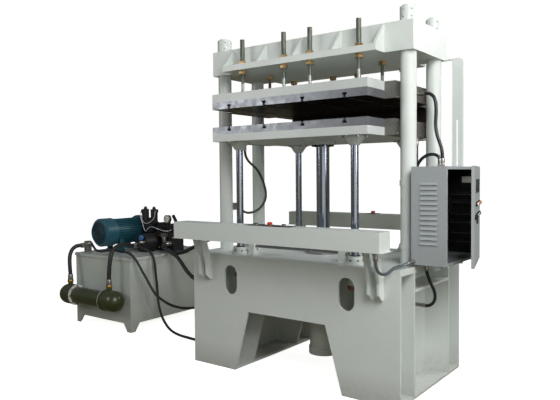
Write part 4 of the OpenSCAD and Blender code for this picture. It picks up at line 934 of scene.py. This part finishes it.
@dataclass(frozen=True)
class Cord(Wire):
    """A hose or cable with crimped sleeves, which stands for the node of the same name.

    Attributes:
        sleeve_length: Length of each sleeve.
        rib_pitch: Distance between two ribs of a wound conduit, 0 for a smooth sheath.
        rib_share: Radius between two ribs, as a share of the full one.
        crease: Angle in degrees from which an edge of the sheath stays sharp.
        moving: The body that its other end moves with, if one end moves.
        still_at: Point before which it stays with the frame, in millimetres.
        moving_at: Point after which it follows the moving body, in millimetres.
    """

    sleeve_length: float = 0.045
    rib_pitch: float = 0.0
    rib_share: float = 0.9
    crease: float = 50.0
    moving: str = ""
    still_at: Point = (0.0, 0.0, 0.0)
    moving_at: Point = (0.0, 0.0, 0.0)

    def build(self) -> None:
        step, share = (self.rib_pitch / 2, self.rib_share) if self.rib_pitch else (0.6 * self.diameter, 1.0)
        line = smooth_line(self.route, step)
        cord = Bench.tube(self.name + "_run", line, self.diameter / 2, share)
        coat(cord, self.finish, self.crease)
        if self.moving:
            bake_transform(cord)
        else:
            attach(cord, "frame")
        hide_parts(self.name)
        first, last = self._end_bodies()
        self.declare(cord, line, [self._sleeve("_first_sleeve", line[0], line[1], first),
                                  self._sleeve("_last_sleeve", line[-1], line[-2], last)])

    def _end_bodies(self) -> Tuple[str, str]:
        """Names the bodies that the first and last end are held by."""
        if not self.moving:
            return "frame", "frame"
        across = Vector(self.moving_at) - Vector(self.still_at)
        travel = (Vector(self.route[-1]) - Vector(self.route[0])).dot(across)
        return ("frame", self.moving) if travel > 0 else (self.moving, "frame")

    def _sleeve(self, tail: str, foot: Point, ahead: Point, body: str) -> Piece:
        """Crimps a sleeve on one end.

        Args:
            tail: End of the sleeve's name.
            foot: The end of the cord.
            ahead: The next point of its line.
            body: The body that holds the end.

        Returns:
            The sleeve.
        """
        sleeve = Bench.turned(self.name + tail, scaled(SLEEVE_OUTLINE, self.diameter / 2, self.sleeve_length), 24)
        axis = (Vector(ahead) - Vector(foot)).normalized()
        return fit(Bench.settle(sleeve, seat(foot, tuple(axis))), FITTING_ZINC, body)


COIL_WIRES: Tuple[Wire, ...] = (
    Wire("coil_wire_loop", (
        (-2574.5, 374.5, 1256), (-2574, 364, 1255), (-2570, 354, 1250), (-2562, 346, 1240), (-2554, 340, 1224),
        (-2556, 336, 1202), (-2568, 333, 1180), (-2590, 331, 1158), (-2625, 330, 1134), (-2665, 330, 1118),
        (-2705, 330, 1112), (-2740, 330, 1122), (-2765, 330, 1148), (-2778, 331, 1182), (-2783, 336, 1212),
        (-2783, 340, 1238.5),
    ), 0.007, WIRE_WHITE),
    Wire("coil_wire_lead", (
        (-2825.5, 375, 1246), (-2825.5, 364, 1244), (-2822, 350, 1236), (-2812, 336, 1216), (-2796, 326, 1186),
        (-2774, 320, 1152), (-2752, 318, 1118), (-2736, 317, 1082), (-2723, 316.5, 1048), (-2704, 316, 1027),
        (-2680, 316, 1030), (-2660, 316.5, 1050), (-2630, 317, 1070), (-2587, 317.5, 1077), (-2520, 318, 1066),
        (-2448, 320, 1050), (-2390, 328, 1038), (-2356, 345, 1036), (-2338, 368, 1041), (-2335, 388.5, 1045),
    ), 0.007, WIRE_WHITE),
)

HOSES_AND_CABLES: Tuple[Cord, ...] = (
    Cord("hose_cooler_left", (
        (-3120, -426, 510), (-3120, -426, 570), (-3130, -424, 640), (-3144, -417, 715), (-3152, -403, 790),
        (-3150, -370, 850), (-3138, -325, 880), (-3116, -280, 885), (-3100, -255, 885), (-3100, -230, 885),
    ), 0.045, HOSE_RUBBER, Stiffness.STIFF, Lay.LOOSE, 0.060),
    Cord("hose_cooler_right", (
        (-2430, -426, 515), (-2430, -426, 600), (-2425, -424, 690), (-2420, -415, 780), (-2425, -390, 858),
        (-2440, -330, 905), (-2460, -240, 925), (-2500, -140, 920), (-2555, -40, 900), (-2590, 20, 883),
        (-2600, 60, 880), (-2600, 100, 880),
    ), 0.045, HOSE_RUBBER, Stiffness.STIFF, Lay.LOOSE, 0.060),
    Cord("hose_lead", (
        (-3070, -200, 900), (-3045, -200, 900), (-3005, -206, 886), (-2950, -225, 862), (-2880, -250, 843),
        (-2790, -265, 836), (-2700, -268, 848), (-2620, -268, 860), (-2540, -270, 864), (-2460, -275, 862),
        (-2380, -280, 860), (-2300, -280, 857), (-2240, -278, 836), (-2180, -275, 792), (-2120, -270, 722),
        (-2075, -262, 655), (-2030, -250, 590), (-1990, -240, 525), (-1950, -230, 465), (-1905, -215, 418),
        (-1850, -195, 378), (-1785, -160, 338), (-1720, -125, 315), (-1650, -95, 306), (-1550, -60, 315),
        (-1440, -45, 338), (-1330, -40, 362), (-1220, -40, 382), (-1100, -40, 395), (-1000, -40, 400),
        (-910, -40, 400), (-860, -40, 400),
    ), 0.027, HOSE_RUBBER, Stiffness.MEDIUM, Lay.HANGING, 0.045),
    Cord("hose_floor", (
        (-2500, 100, 920), (-2500, 70, 920), (-2482, 25, 908), (-2440, -5, 893), (-2385, -20, 880), (-2320, -22, 866),
        (-2260, -20, 848), (-2205, -15, 806), (-2180, -12, 735), (-2172, -8, 660), (-2166, -5, 580), (-2160, 0, 500),
        (-2152, 0, 420), (-2140, -5, 340), (-2115, -15, 262), (-2075, -28, 190), (-2020, -42, 128), (-1955, -58, 80),
        (-1880, -75, 45), (-1790, -92, 25), (-1690, -105, 16), (-1580, -118, 15), (-1460, -130, 15),
        (-1330, -134, 15), (-1230, -128, 25), (-1150, -120, 50), (-1085, -110, 88), (-1020, -103, 122),
        (-965, -100, 144), (-910, -100, 150), (-860, -100, 150),
    ), 0.027, HOSE_RUBBER, Stiffness.MEDIUM, Lay.LOOSE, 0.045),
    Cord("hose_table", (
        (-2400, 338, 965), (-2400, 338, 930), (-2393, 328, 890), (-2367, 311, 858), (-2320, 290, 838),
        (-2265, 268, 830), (-2200, 245, 824), (-2130, 222, 812), (-2050, 200, 815), (-1960, 178, 830),
        (-1860, 155, 858), (-1760, 130, 893), (-1660, 105, 930), (-1570, 85, 965), (-1480, 65, 998),
        (-1390, 48, 1025), (-1300, 35, 1043), (-1210, 22, 1052), (-1120, 10, 1046), (-1040, 2, 1034), (-980, 0, 1030),
        (-930, 0, 1030),
    ), 0.042, HOSE_RUBBER, Stiffness.STIFF, Lay.HANGING, 0.055),
    Cord("hose_feed", (
        (-2330, 340, 890), (-2330, 300, 890), (-2314, 245, 884), (-2277, 203, 873), (-2225, 175, 862),
        (-2165, 163, 848), (-2105, 156, 830), (-2045, 149, 810), (-1980, 139, 785), (-1905, 120, 740),
        (-1828, 98, 688), (-1745, 75, 640), (-1659, 55, 604), (-1560, 40, 580), (-1450, 30, 572), (-1330, 25, 580),
        (-1210, 22, 602), (-1100, 20, 632), (-1000, 20, 664), (-925, 20, 680), (-860, 20, 680),
    ), 0.042, HOSE_RUBBER, Stiffness.STIFF, Lay.HANGING, 0.055),
    Cord("cable_upper", (
        (890, 50, 2300), (930, 50, 2300), (965, 48, 2292), (995, 45, 2265), (1010, 42, 2225), (1015, 40, 2175),
        (1015, 38, 2120), (1013, 36, 2070), (1016, 34, 2020), (1028, 30, 1970), (1045, 26, 1925), (1062, 22, 1880),
        (1072, 20, 1835), (1075, 20, 1790), (1075, 20, 1756),
    ), 0.027, CABLE_PVC, Stiffness.MEDIUM, Lay.HANGING, 0.030),
    Cord("cable_lower", (
        (1075, -35, 1756), (1075, -35, 1775), (1068, -35, 1795), (1050, -35, 1810), (1020, -35, 1818),
        (985, -35, 1815), (950, -35, 1800), (920, -35, 1775), (895, -35, 1738), (876, -33, 1690), (862, -26, 1630),
        (852, -10, 1572), (842, 22, 1530), (832, 65, 1510), (822, 108, 1522), (812, 142, 1560), (805, 160, 1612),
        (800, 165, 1680), (800, 165, 1760), (800, 165, 1850), (800, 165, 1926),
    ), 0.025, CABLE_PVC, Stiffness.MEDIUM, Lay.HANGING, 0.026,
        moving="platen", still_at=(1069, -29, 1752), moving_at=(936, 114, 1663)),
    Cord("cable_base", (
        (1040, -200, 972), (1040, -200, 942), (1045, -188, 904), (1052, -170, 864), (1060, -148, 824),
        (1067, -127, 788), (1070, -112, 750), (1064, -103, 712), (1046, -97, 680), (1018, -95, 660), (990, -95, 655),
        (960, -95, 655),
    ), 0.025, CABLE_PVC, Stiffness.MEDIUM, Lay.HANGING, 0.028),
    Cord("cable_bar", (
        (912, -770, 1100), (912, -770, 1065), (913, -763, 1030), (917, -748, 1000), (925, -725, 981),
        (934, -695, 973), (943, -660, 975), (950, -625, 988), (957, -590, 1003), (963, -545, 1008), (972, -490, 1010),
        (990, -455, 1018), (1005, -430, 1027), (1010, -415, 1030), (1010, -399, 1030),
    ), 0.023, CONDUIT_ZINC, Stiffness.MEDIUM, Lay.HANGING, 0.026, rib_pitch=0.010),
    Cord("cable_platen", (
        (-800, -100, 1926), (-800, -100, 1890), (-800, -88, 1850), (-800, -60, 1815), (-800, -20, 1785),
        (-800, 35, 1755), (-800, 90, 1715), (-800, 140, 1660), (-800, 180, 1595), (-800, 206, 1530),
        (-800, 213, 1475), (-802, 203, 1428), (-808, 168, 1380), (-818, 115, 1340), (-830, 55, 1318), (-842, 0, 1312),
        (-853, -50, 1322), (-862, -90, 1348), (-868, -118, 1370), (-870, -140, 1382), (-870, -160, 1382),
    ), 0.023, CABLE_GREY, Stiffness.MEDIUM, Lay.HANGING, 0.026,
        moving="platen", still_at=(-868, -159, 1383), moving_at=(-624, -37, 1505)),
)

Dressing = Tuple[Tuple[Finish, Tuple[str, ...]], ...]


@dataclass(frozen=True)
class Assembly:
    """A part of the press: nodes in their finishes, and the pieces that are added to them.

    Attributes:
        dressed: Its nodes by finish.
    """

    dressed: Dressing = ()

    def build(self) -> None:
        """Dresses the nodes through their material slots and adds the pieces."""
        for finish, nodes in self.dressed:
            for node in nodes:
                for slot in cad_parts[node].material_slots:
                    slot.material = finish.material()
        self.add_pieces()
        log.info("%s is dressed", type(self).__name__)

    def add_pieces(self) -> None:
        """Adds the pieces that only the scene has."""
        raise NotImplementedError


@dataclass(frozen=True)
class PressFrame(Assembly):
    """Welded base, table, columns, crown and the cylinder that stands in them.

    Attributes:
        flange_z: Top of the guide sleeves' flanges.
        collar_z: Top of the collars on them.
        head_z: Top of the cylinder head.
        shaft: Right end of the cross shaft.
    """

    dressed: Dressing = (
        (MACHINE_ENAMEL, (
            "base_front_plate", "base_rear_plate", "base_ribs", "base_leg_left", "base_leg_right", "table_plate",
            "columns", "column_nuts", "crown_beam", "crown_ledges", "cylinder_barrel", "guide_sleeves", "front_bar",
            "bar_brackets", "shaft_blocks", "cabinet_clamps", "switch_rail")),
        # The rear bar gets a darker copy of the frame's enamel as painted shade.
        (SHADED_BAR_ENAMEL, ("rear_bar",)),
        (TURNED_STEEL, ("cylinder_head", "cross_shaft")),
        (ROD_THREAD, ("hanger_rods",)),
        (YELLOW_ZINC, ("hanger_nuts",)))
    flange_z: float = 1.013
    collar_z: float = 1.048
    head_z: float = 1.028
    shaft: Point = (0.4802, -0.42, 1.06)

    def add_pieces(self) -> None:
        """Adds bush, collar and wiper of each guide, the ram's gland, the screws and the shaft's nuts."""
        posts = [seat((x, y, 0.0)) for x, y in GUIDES]
        for name, inner, outer, low, high, chamfer, finish in (
                ("guide_bushes", 0.0305, 0.0565, 0.792, 0.828, 0.004, BRONZE),
                ("guide_collars", 0.0312, 0.0580, self.flange_z, self.collar_z, 0.003, MACHINE_ENAMEL),
                ("guide_wipers", 0.0306, 0.0400, self.collar_z, self.collar_z + 0.007, 0.002, BLACK_ABS)):
            fit(Bench.repeat(name, Bench.ring("ring", inner, outer, low, high, chamfer), posts), finish)
        fit(Bench.ring("ram_gland", 0.0582, 0.0900, self.head_z, self.head_z + 0.018, 0.004), TURNED_STEEL)
        around = on_circle((0.0, 0.0, self.head_z), 0.138, 12)
        Head.SOCKET_CAP.put("head_screws", (0.015, 0.020), around, BLACK_IRON)
        around = [place for x, y in GUIDES for place in on_circle((x, y, self.flange_z), 0.056, 6, start=0.4)]
        Head.SOCKET_CAP.put("sleeve_screws", (0.008, 0.010), around, BLACK_IRON)
        x, y, z = self.shaft
        Head.HEXAGON.put("shaft_nuts", (0.023, 0.018), [seat((x, y, z), RIGHT), seat((-x, y, z), LEFT)], FITTING_ZINC)


@dataclass(frozen=True)
class Platens(Assembly):
    """The fixed upper and the sliding lower heated platen.

    Attributes:
        rear_y: Rear face of the platens.
        under_z: Underside of the lower platen.
        cap_height: Height of the cap on the ram's flange.
        cover_x: Outer face of the right-hand end covers.
        cover_edge: Distance of the covers' screws from their edges.
    """

    dressed: Dressing = (
        (PLATE_ENAMEL, ("upper_backing_plate", "lower_backing_plate")),
        (HEATED_STEEL, ("upper_heating_plate", "lower_heating_plate")),
        (COVER_SHEET, ("upper_end_covers", "lower_end_covers")),
        (HARD_CHROME, ("main_ram", "guide_rods")),
        (FITTING_ZINC, ("platen_glands",)))
    rear_y: float = 0.589
    under_z: float = 1.961
    cap_height: float = 0.0315
    cover_x: float = 0.844
    cover_edge: float = 0.014

    def add_pieces(self) -> None:
        """Adds the hubs' caps, a dark sheet of painted shade behind the platens' gap and the covers' screws."""
        self._hubs()
        self._shade_sheet()
        self._cover_screws("upper_cover_screws", 2.237, 2.367, "frame")
        self._cover_screws("lower_cover_screws", 1.961, 2.085, "platen")

    def _hubs(self) -> None:
        """Adds painted caps over the rods' hubs and the ram's flange, with their bolts."""
        spots = [(x, y, self.under_z) for x, y in GUIDES]
        cap = Bench.turned("cap", [(0.0775, 0.0003), (0.0775, 0.0150), (0.0760, 0.0172), (0.0400, 0.0700),
                                   (0.0380, 0.0712), (0.0310, 0.0712)], 40)
        fit(Bench.repeat("hub_caps", cap, [seat(spot, DOWN) for spot in spots]), PLATE_ENAMEL, "platen")
        around = [place for spot in spots for place in on_circle(spot, 0.094, 6, DOWN, 0.3)]
        Head.HEXAGON.put("hub_bolts", (0.012, 0.012), around, FITTING_ZINC, "platen")
        flange = Bench.turned("ram_cap", [(0.1125, 0.0003), (0.1125, 0.0290), (0.1100, self.cap_height),
                                          (0.0620, self.cap_height), (0.0600, 0.0305)], 48)
        fit(Bench.settle(flange, seat((0.0, 0.0, self.under_z), DOWN)), PLATE_ENAMEL, "platen")
        around = on_circle((0.0, 0.0, self.under_z - self.cap_height), 0.084, 8, DOWN, 0.2)
        Head.SOCKET_CAP.put("ram_bolts", (0.013, 0.016), around, BLACK_IRON, "platen")

    def _shade_sheet(self) -> None:
        """Hangs a thin brown-black sheet behind the gap between the platens, clear of the lower one: painted shade that
        darkens the view through the gap.
        """
        sheet = Bench.block("sheet", (-0.750, 0.6010, 2.094), (0.750, 0.6030, 2.345), 0.0006, 1)
        hem = Bench.block("hem", (-0.750, 0.6030, 2.094), (0.750, 0.6090, 2.100), 0.0010, 1)
        fit(Bench.join("rear_shade_sheet", [sheet, hem]), SHADE_SHEET)
        stud = Bench.turned("stud", [(0.010, 0.0), (0.010, 0.0120), (0.0155, 0.0122), (0.0155, 0.0200),
                                     (0.0120, 0.0230)], 16)
        places = [seat((x, self.rear_y, 2.325), BACK) for x in (-0.66, -0.33, 0.0, 0.33, 0.66)]
        fit(Bench.repeat("shade_sheet_studs", stud, places), FITTING_ZINC)

    def _cover_screws(self, name: str, low: float, high: float, body: str) -> None:
        """Screws the end covers on.

        Args:
            name: The piece's name.
            low: Lower level of the covers.
            high: Their upper level.
            body: The body that the covers move with.
        """
        places = [seat((way[0] * self.cover_x, y, z), way) for y in (-0.28, -0.14, 0.0, 0.14, 0.28)
                  for z in (low + self.cover_edge, high - self.cover_edge) for way in (RIGHT, LEFT)]
        Head.PAN.put(name, (0.007, 0.004), places, FITTING_ZINC, body)


@dataclass(frozen=True)
class ControlBars(Assembly):
    """The hollow bars in front and behind with their push buttons.

    Attributes:
        panel_z: Top of the button panels.
        front_y: Middle of the front bar.
        rear_y: Middle of the rear bar.
        button_x: Distance of the black buttons from the middle.
        screw_y: Distance of the panels' screws from the middle of their bar.
    """

    dressed: Dressing = (
        (BLACK_ABS, ("bar_panels", "front_button_left", "front_button_right")),
        (RED_NYLON, ("front_stop", "rear_stop")))
    panel_z: float = 1.281
    front_y: float = -0.770
    rear_y: float = 0.930
    button_x: float = 0.135
    screw_y: float = 0.043

    def add_pieces(self) -> None:
        """Adds the buttons' bezels and the panels' screws."""
        z = self.panel_z
        stops = [seat((0.0, y, 0.0)) for y in (self.front_y, self.rear_y)]
        buttons = [seat((x, self.front_y, 0.0)) for x in (-self.button_x, self.button_x)]
        for name, inner, outer, places, finish in (("stop_bezels", 0.0222, 0.0300, stops, YELLOW_ZINC),
                                                   ("button_rings", 0.0172, 0.0230, buttons, FITTING_ZINC)):
            fit(Bench.repeat(name, Bench.ring("ring", inner, outer, z, z + 0.005, 0.0015), places), finish)
        corners = [seat((x, bar_y + y, z)) for bar_y, half in ((self.front_y, 0.197), (self.rear_y, 0.043))
                   for x in (-half, half) for y in (-self.screw_y, self.screw_y)]
        Head.PAN.put("panel_screws", (0.006, 0.003), corners, FITTING_ZINC)


@dataclass(frozen=True)
class Cabinet(Assembly):
    """The switch cabinet on the right-hand columns.

    Attributes:
        low_y: Front wall.
        far_y: Inner face of the rear wall.
        low_z: Floor.
        top_z: Roof.
        face_x: Outer face of the closed door.
        device_x: Front of the devices on it.
        hinge: Middle of the hinge, seen from above.
        open_angle: How far the door stands open, in radians.
        plate_x: Front of the mounting plate inside.
        row_z: Lower edges of the terminal rows on the rear wall.
    """

    dressed: Dressing = ((CABINET_ENAMEL, ("cabinet_box", "cabinet_door")),
                         (BLACK_ABS, ("cabinet_gear", "door_controls")))
    low_y: float = -0.364
    far_y: float = 0.267
    low_z: float = 1.007
    top_z: float = 1.721
    face_x: float = 1.279
    device_x: float = 1.293
    hinge: Tuple[float, float] = (1.257, 0.278)
    open_angle: float = math.radians(15.0)
    plate_x: float = 1.010
    row_z: Tuple[float, ...] = (1.485, 1.425, 1.330, 1.265, 1.180, 1.110)

    def add_pieces(self) -> None:
        """Adds the cabinet's inside and the door's devices."""
        self._ducts()
        self._breakers()
        self._side_gear()
        self._lamps()
        self._meters()

    def _on_door(self) -> Matrix:
        """Gives the turn from the closed door to the door as it stands."""
        pin = Matrix.Translation((*self.hinge, 0.0))
        return pin @ Matrix.Rotation(self.open_angle, 4, "Z") @ pin.inverted()

    def _ducts(self) -> None:
        """Adds slotted wiring ducts between the rows of gear."""
        tooth = Bench.block("tooth", (-0.0016, -0.005, 0.0), (0.0016, 0.005, 0.040), 0.0006, 1)
        levels = [self.low_z + rise for rise in (0.180, 0.330, 0.505, 0.655)]
        places = [seat((self.plate_x, self.low_y + 0.070 + i * 0.018, z + side), RIGHT)
                  for z in levels for i in range(28) for side in (-0.014, 0.014)]
        fit(Bench.repeat("duct_teeth", tooth, places), DUCT_PVC)
        lids = [Bench.block("lid", (self.plate_x + 0.038, self.low_y + 0.060, z - 0.018),
                            (self.plate_x + 0.043, self.low_y + 0.566, z + 0.018), 0.0015) for z in levels]
        fit(Bench.join("duct_lids", lids), DUCT_PVC)

    def _breakers(self) -> None:
        """Adds pale breaker fronts with toggles on the upper row."""
        x, z = self.plate_x, self.low_z
        lefts = [self.low_y + 0.056 + i * 0.062 for i in range(4)]
        fronts = [Bench.block("front", (x + 0.072, y, z + 0.552), (x + 0.080, y + 0.046, z + 0.618), 0.003)
                  for y in lefts]
        toggles = [Bench.block("toggle", (x + 0.080, y + 0.012, z + 0.580), (x + 0.090, y + 0.034, z + 0.592), 0.002)
                   for y in lefts]
        fit(Bench.join("breaker_fronts", fronts), PALE_MOULDING)
        fit(Bench.join("breaker_toggles", toggles), BLACK_ABS)

    def _side_gear(self) -> None:
        """Adds a black plate on the far wall, a dark sheet of painted shade that keeps the cabinet's inside dark, with
        its relay and terminal rows.
        """
        wall = self.far_y
        # The black plate is painted shade: it stands in for the shade inside the cabinet.
        plate = Bench.block("plate", (1.030, wall - 0.006, 1.040), (1.248, wall - 0.0005, 1.704), 0.0015)
        relay = Bench.block("relay", (1.130, wall - 0.031, 1.556), (1.240, wall - 0.006, 1.658), 0.004)
        rows = [Bench.block("row", (1.050, wall - 0.024, z), (1.236, wall - 0.006, z + 0.034), 0.002)
                for z in self.row_z]
        fit(Bench.join("far_wall_shade_and_gear", [plate, relay, *rows]), BLACK_ABS)
        front = Bench.block("relay_front", (1.150, wall - 0.0335, 1.597), (1.224, wall - 0.030, 1.646), 0.0015)
        fit(front, PALE_MOULDING)
        places = [seat((1.060 + 0.0185 * i, wall - 0.024, z + 0.017), FRONT) for z in self.row_z for i in range(10)]
        Head.PAN.put("terminal_screws", (0.0035, 0.0025), places, FITTING_ZINC)

    def _lamps(self) -> None:
        """Adds lamp lenses and button caps on the door."""
        columns = [self.low_y + 0.120 + i * 0.085 for i in range(5)]
        lenses = (("white", LENS_WHITE), ("red", LENS_RED), ("orange", LENS_ORANGE), ("green", LENS_GREEN),
                  ("amber", LENS_ORANGE))
        for y, (name, finish) in zip(columns, lenses):
            dome = Bench.turned("lens_" + name, [(0.0125, 0.0), (0.0125, 0.003), (0.0112, 0.006), (0.0082, 0.0085),
                                                 (0.004, 0.0098)], 24)
            place = self._on_door() @ seat((self.device_x, y, self.top_z - 0.270), RIGHT)
            fit(Bench.settle(dome, place), finish, "door")
        cap = Bench.turned("cap", [(0.0115, 0.0), (0.0115, 0.004), (0.0100, 0.0055), (0.0092, 0.0045)], 24)
        places = [self._on_door() @ seat((self.device_x, y, self.top_z - 0.350), RIGHT) for y in columns]
        fit(Bench.repeat("door_button_caps", cap, places), FITTING_ZINC, "door")

    def _meters(self) -> None:
        """Adds the smoked panes of the two meters."""
        panes = [Bench.block("pane", (self.face_x + 0.0075, self.low_y + left + 0.010, self.top_z - 0.160),
                             (self.face_x + 0.0095, self.low_y + left + 0.086, self.top_z - 0.104), 0.0008)
                 for left in (0.130, 0.320)]
        fit(Bench.settle(Bench.join("meter_panes", panes), self._on_door()), SMOKED_PANE, "door")


@dataclass(frozen=True)
class PowerUnit(Assembly):
    """Oil tank with motor, pumps, valves and cooler.

    Attributes:
        fan: Middle of the motor's fan cowl, on its front.
        gauge: Middle of the pressure gauge's front.
        manifold_y: Front of the valve manifold.
        cooler_y: Middle of the cooler.
        cooler_z: Height of its axis.
        lid_z: Top of the tank.
    """

    dressed: Dressing = (
        (TANK_ENAMEL, ("tank_body", "tank_lid")),
        (MOTOR_ENAMEL, ("motor",)),
        (BLACK_IRON, ("pump_unit", "aux_pump", "valve_manifold", "valve_stack")),
        (COOLER_ENAMEL, ("oil_cooler",)),
        (FITTING_ZINC, ("hose_fittings",)))
    fan: Point = (-2.960, -0.150, 1.025)
    gauge: Point = (-2.400, 0.384, 1.172)
    manifold_y: float = 0.370
    cooler_y: float = -0.426
    cooler_z: float = 0.350
    lid_z: float = 0.800

    def add_pieces(self) -> None:
        """Adds the unit's small parts."""
        self._grille()
        self._gauge()
        self._cooler_bands()
        self._caps()
        self._coil_wires()
        self._lid_screws()

    def _grille(self) -> None:
        """Adds a black disc of painted shade in the fan opening, and its wire guard."""
        place = seat(self.fan, FRONT)
        # The black disc stands in for the shade inside the cowl: painted shade.
        disc = Bench.turned("fan_opening_shade", [(0.128, 0.0), (0.128, 0.0015), (0.122, 0.0025), (0.040, 0.0020),
                                            (0.034, 0.0045)], 48)
        fit(Bench.settle(disc, place), BLACK_ABS)
        rings = [Bench.ring("guard", r - 0.002, r + 0.002, 0.0055, 0.0095, 0.0012, 48)
                 for r in (0.040, 0.058, 0.076, 0.094, 0.112, 0.126)]
        spoke = Bench.block("spoke", (0.034, -0.002, 0.002), (0.128, 0.002, 0.006), 0.0012, 1)
        spokes = Bench.repeat("spokes", spoke, [Matrix.Rotation(math.pi / 3 * i, 4, "Z") for i in range(6)])
        fit(Bench.settle(Bench.join("fan_guard", [*rings, spokes]), place), MOTOR_ENAMEL)

    def _gauge(self) -> None:
        """Adds the pressure gauge's bezel, dial, ticks and pointer."""
        place = seat(self.gauge, FRONT)
        bezel = Bench.ring("gauge_bezel", 0.0385, 0.0480, -0.004, 0.008, 0.003, 48)
        fit(Bench.settle(bezel, place), FITTING_ZINC)
        dial = Bench.turned("gauge_dial", [(0.0388, 0.0), (0.0388, 0.0010), (0.0380, 0.0014)], 48)
        fit(Bench.settle(dial, place), DIAL_WHITE)
        tick = Bench.block("tick", (0.029, -0.0007, 0.0012), (0.035, 0.0007, 0.0020), 0.0002, 1)
        turns = [math.radians(-45.0 + 27.0 * i) for i in range(11)]
        ticks = Bench.repeat("ticks", tick, [Matrix.Rotation(a, 4, "Z") for a in turns])
        pointer = Bench.block("pointer", (-0.008, -0.0011, 0.0026), (0.030, 0.0011, 0.0036), 0.0004, 1)
        pointer = Bench.settle(pointer, Matrix.Rotation(math.radians(200.0), 4, "Z"))
        fit(Bench.settle(Bench.join("gauge_marks", [ticks, pointer]), place), BLACK_ABS)

    def _cooler_bands(self) -> None:
        """Adds the gaskets and bolts of the cooler's end bonnets, and the nuts of its ports."""
        thick = 0.006
        bands, places = [], []
        for x, way in ((-3.005, RIGHT), (-2.490, LEFT)):
            axle = seat((x, self.cooler_y, self.cooler_z), way)
            bands.append(Bench.settle(Bench.ring("band", 0.0883, 0.1150, 0.0, thick, 0.001, 64), axle))
            places += [axle @ bolt for bolt in on_circle((0.0, 0.0, thick), 0.1015, 8)]
        fit(Bench.join("cooler_gaskets", bands), GASKET_BOARD)
        Head.HEXAGON.put("cooler_bolts", (0.009, 0.010), places, FITTING_ZINC)
        nuts = [Bench.settle(Bench.ring("port", 0.0245, 0.0330, z - 0.030, z - 0.002, 0.002, 6),
                             seat((x, self.cooler_y, 0.0))) for x, z in ((-3.120, 0.510), (-2.430, 0.515))]
        fit(Bench.join("cooler_port_nuts", nuts), BRASS)

    def _caps(self) -> None:
        """Adds the blue plug of the second pump and the brass plugs of the valves."""
        cap = Bench.turned("pump_cap", [(0.0295, 0.0), (0.0295, 0.016), (0.0280, 0.020), (0.0200, 0.0215),
                                        (0.0180, 0.0195)], 32)
        fit(Bench.settle(cap, seat((-2.530, 0.1125, 0.970), FRONT)), BLUE_CAP)
        coils = [seat((x, 0.390, 1.300)) for x in (-2.776, -2.624)]
        Head.HEXAGON.put("coil_nuts", (0.015, 0.012), coils, BRASS)
        low, high = (-2.680, -2.600, -2.520, -2.440), (-2.680, -2.600, -2.520)
        places = [seat((x, self.manifold_y, z), FRONT) for xs, z in ((low, 0.840), (high, 0.980)) for x in xs]
        Head.SOCKET_CAP.put("manifold_plugs", (0.013, 0.008), places, BRASS)

    def _coil_wires(self) -> None:
        """Adds the plugs of the valve coils and the white wires that loop between them."""
        plugs = [Bench.block("plug", low, high, 0.003) for low, high in (
            ((-2.798, 0.3350, 1.238), (-2.768, 0.3485, 1.276)),
            ((-2.5830, 0.374, 1.240), (-2.5660, 0.406, 1.280)),
            ((-2.8340, 0.374, 1.230), (-2.8170, 0.406, 1.270)),
            ((-2.3500, 0.3880, 1.030), (-2.3200, 0.4005, 1.060)),
        )]
        fit(Bench.join("coil_plugs", plugs), BLACK_ABS)
        for wire in COIL_WIRES:
            wire.build()

    def _lid_screws(self) -> None:
        """Adds the screws round the tank lid."""
        xs = [-3.185 + 0.940 * i / 8 for i in range(9)]
        ys = [-0.295 + 1.140 * i / 8 for i in range(9)]
        places = [seat((x, y, self.lid_z)) for x in xs for y in (ys[0], ys[-1])]
        places += [seat((x, y, self.lid_z)) for x in (xs[0], xs[-1]) for y in ys[1:-1]]
        Head.HEXAGON.put("lid_screws", (0.009, 0.007), places, FITTING_ZINC)


def main() -> None:
    """Builds the studio, the cords and the sub-assemblies in order."""
    logging.basicConfig(level=logging.INFO, format="%(name)s: %(message)s")
    Studio().build()
    for built in (*HOSES_AND_CABLES, PressFrame(), Platens(), ControlBars(), Cabinet(), PowerUnit()):
        built.build()


if __name__ == "__main__":
    main()
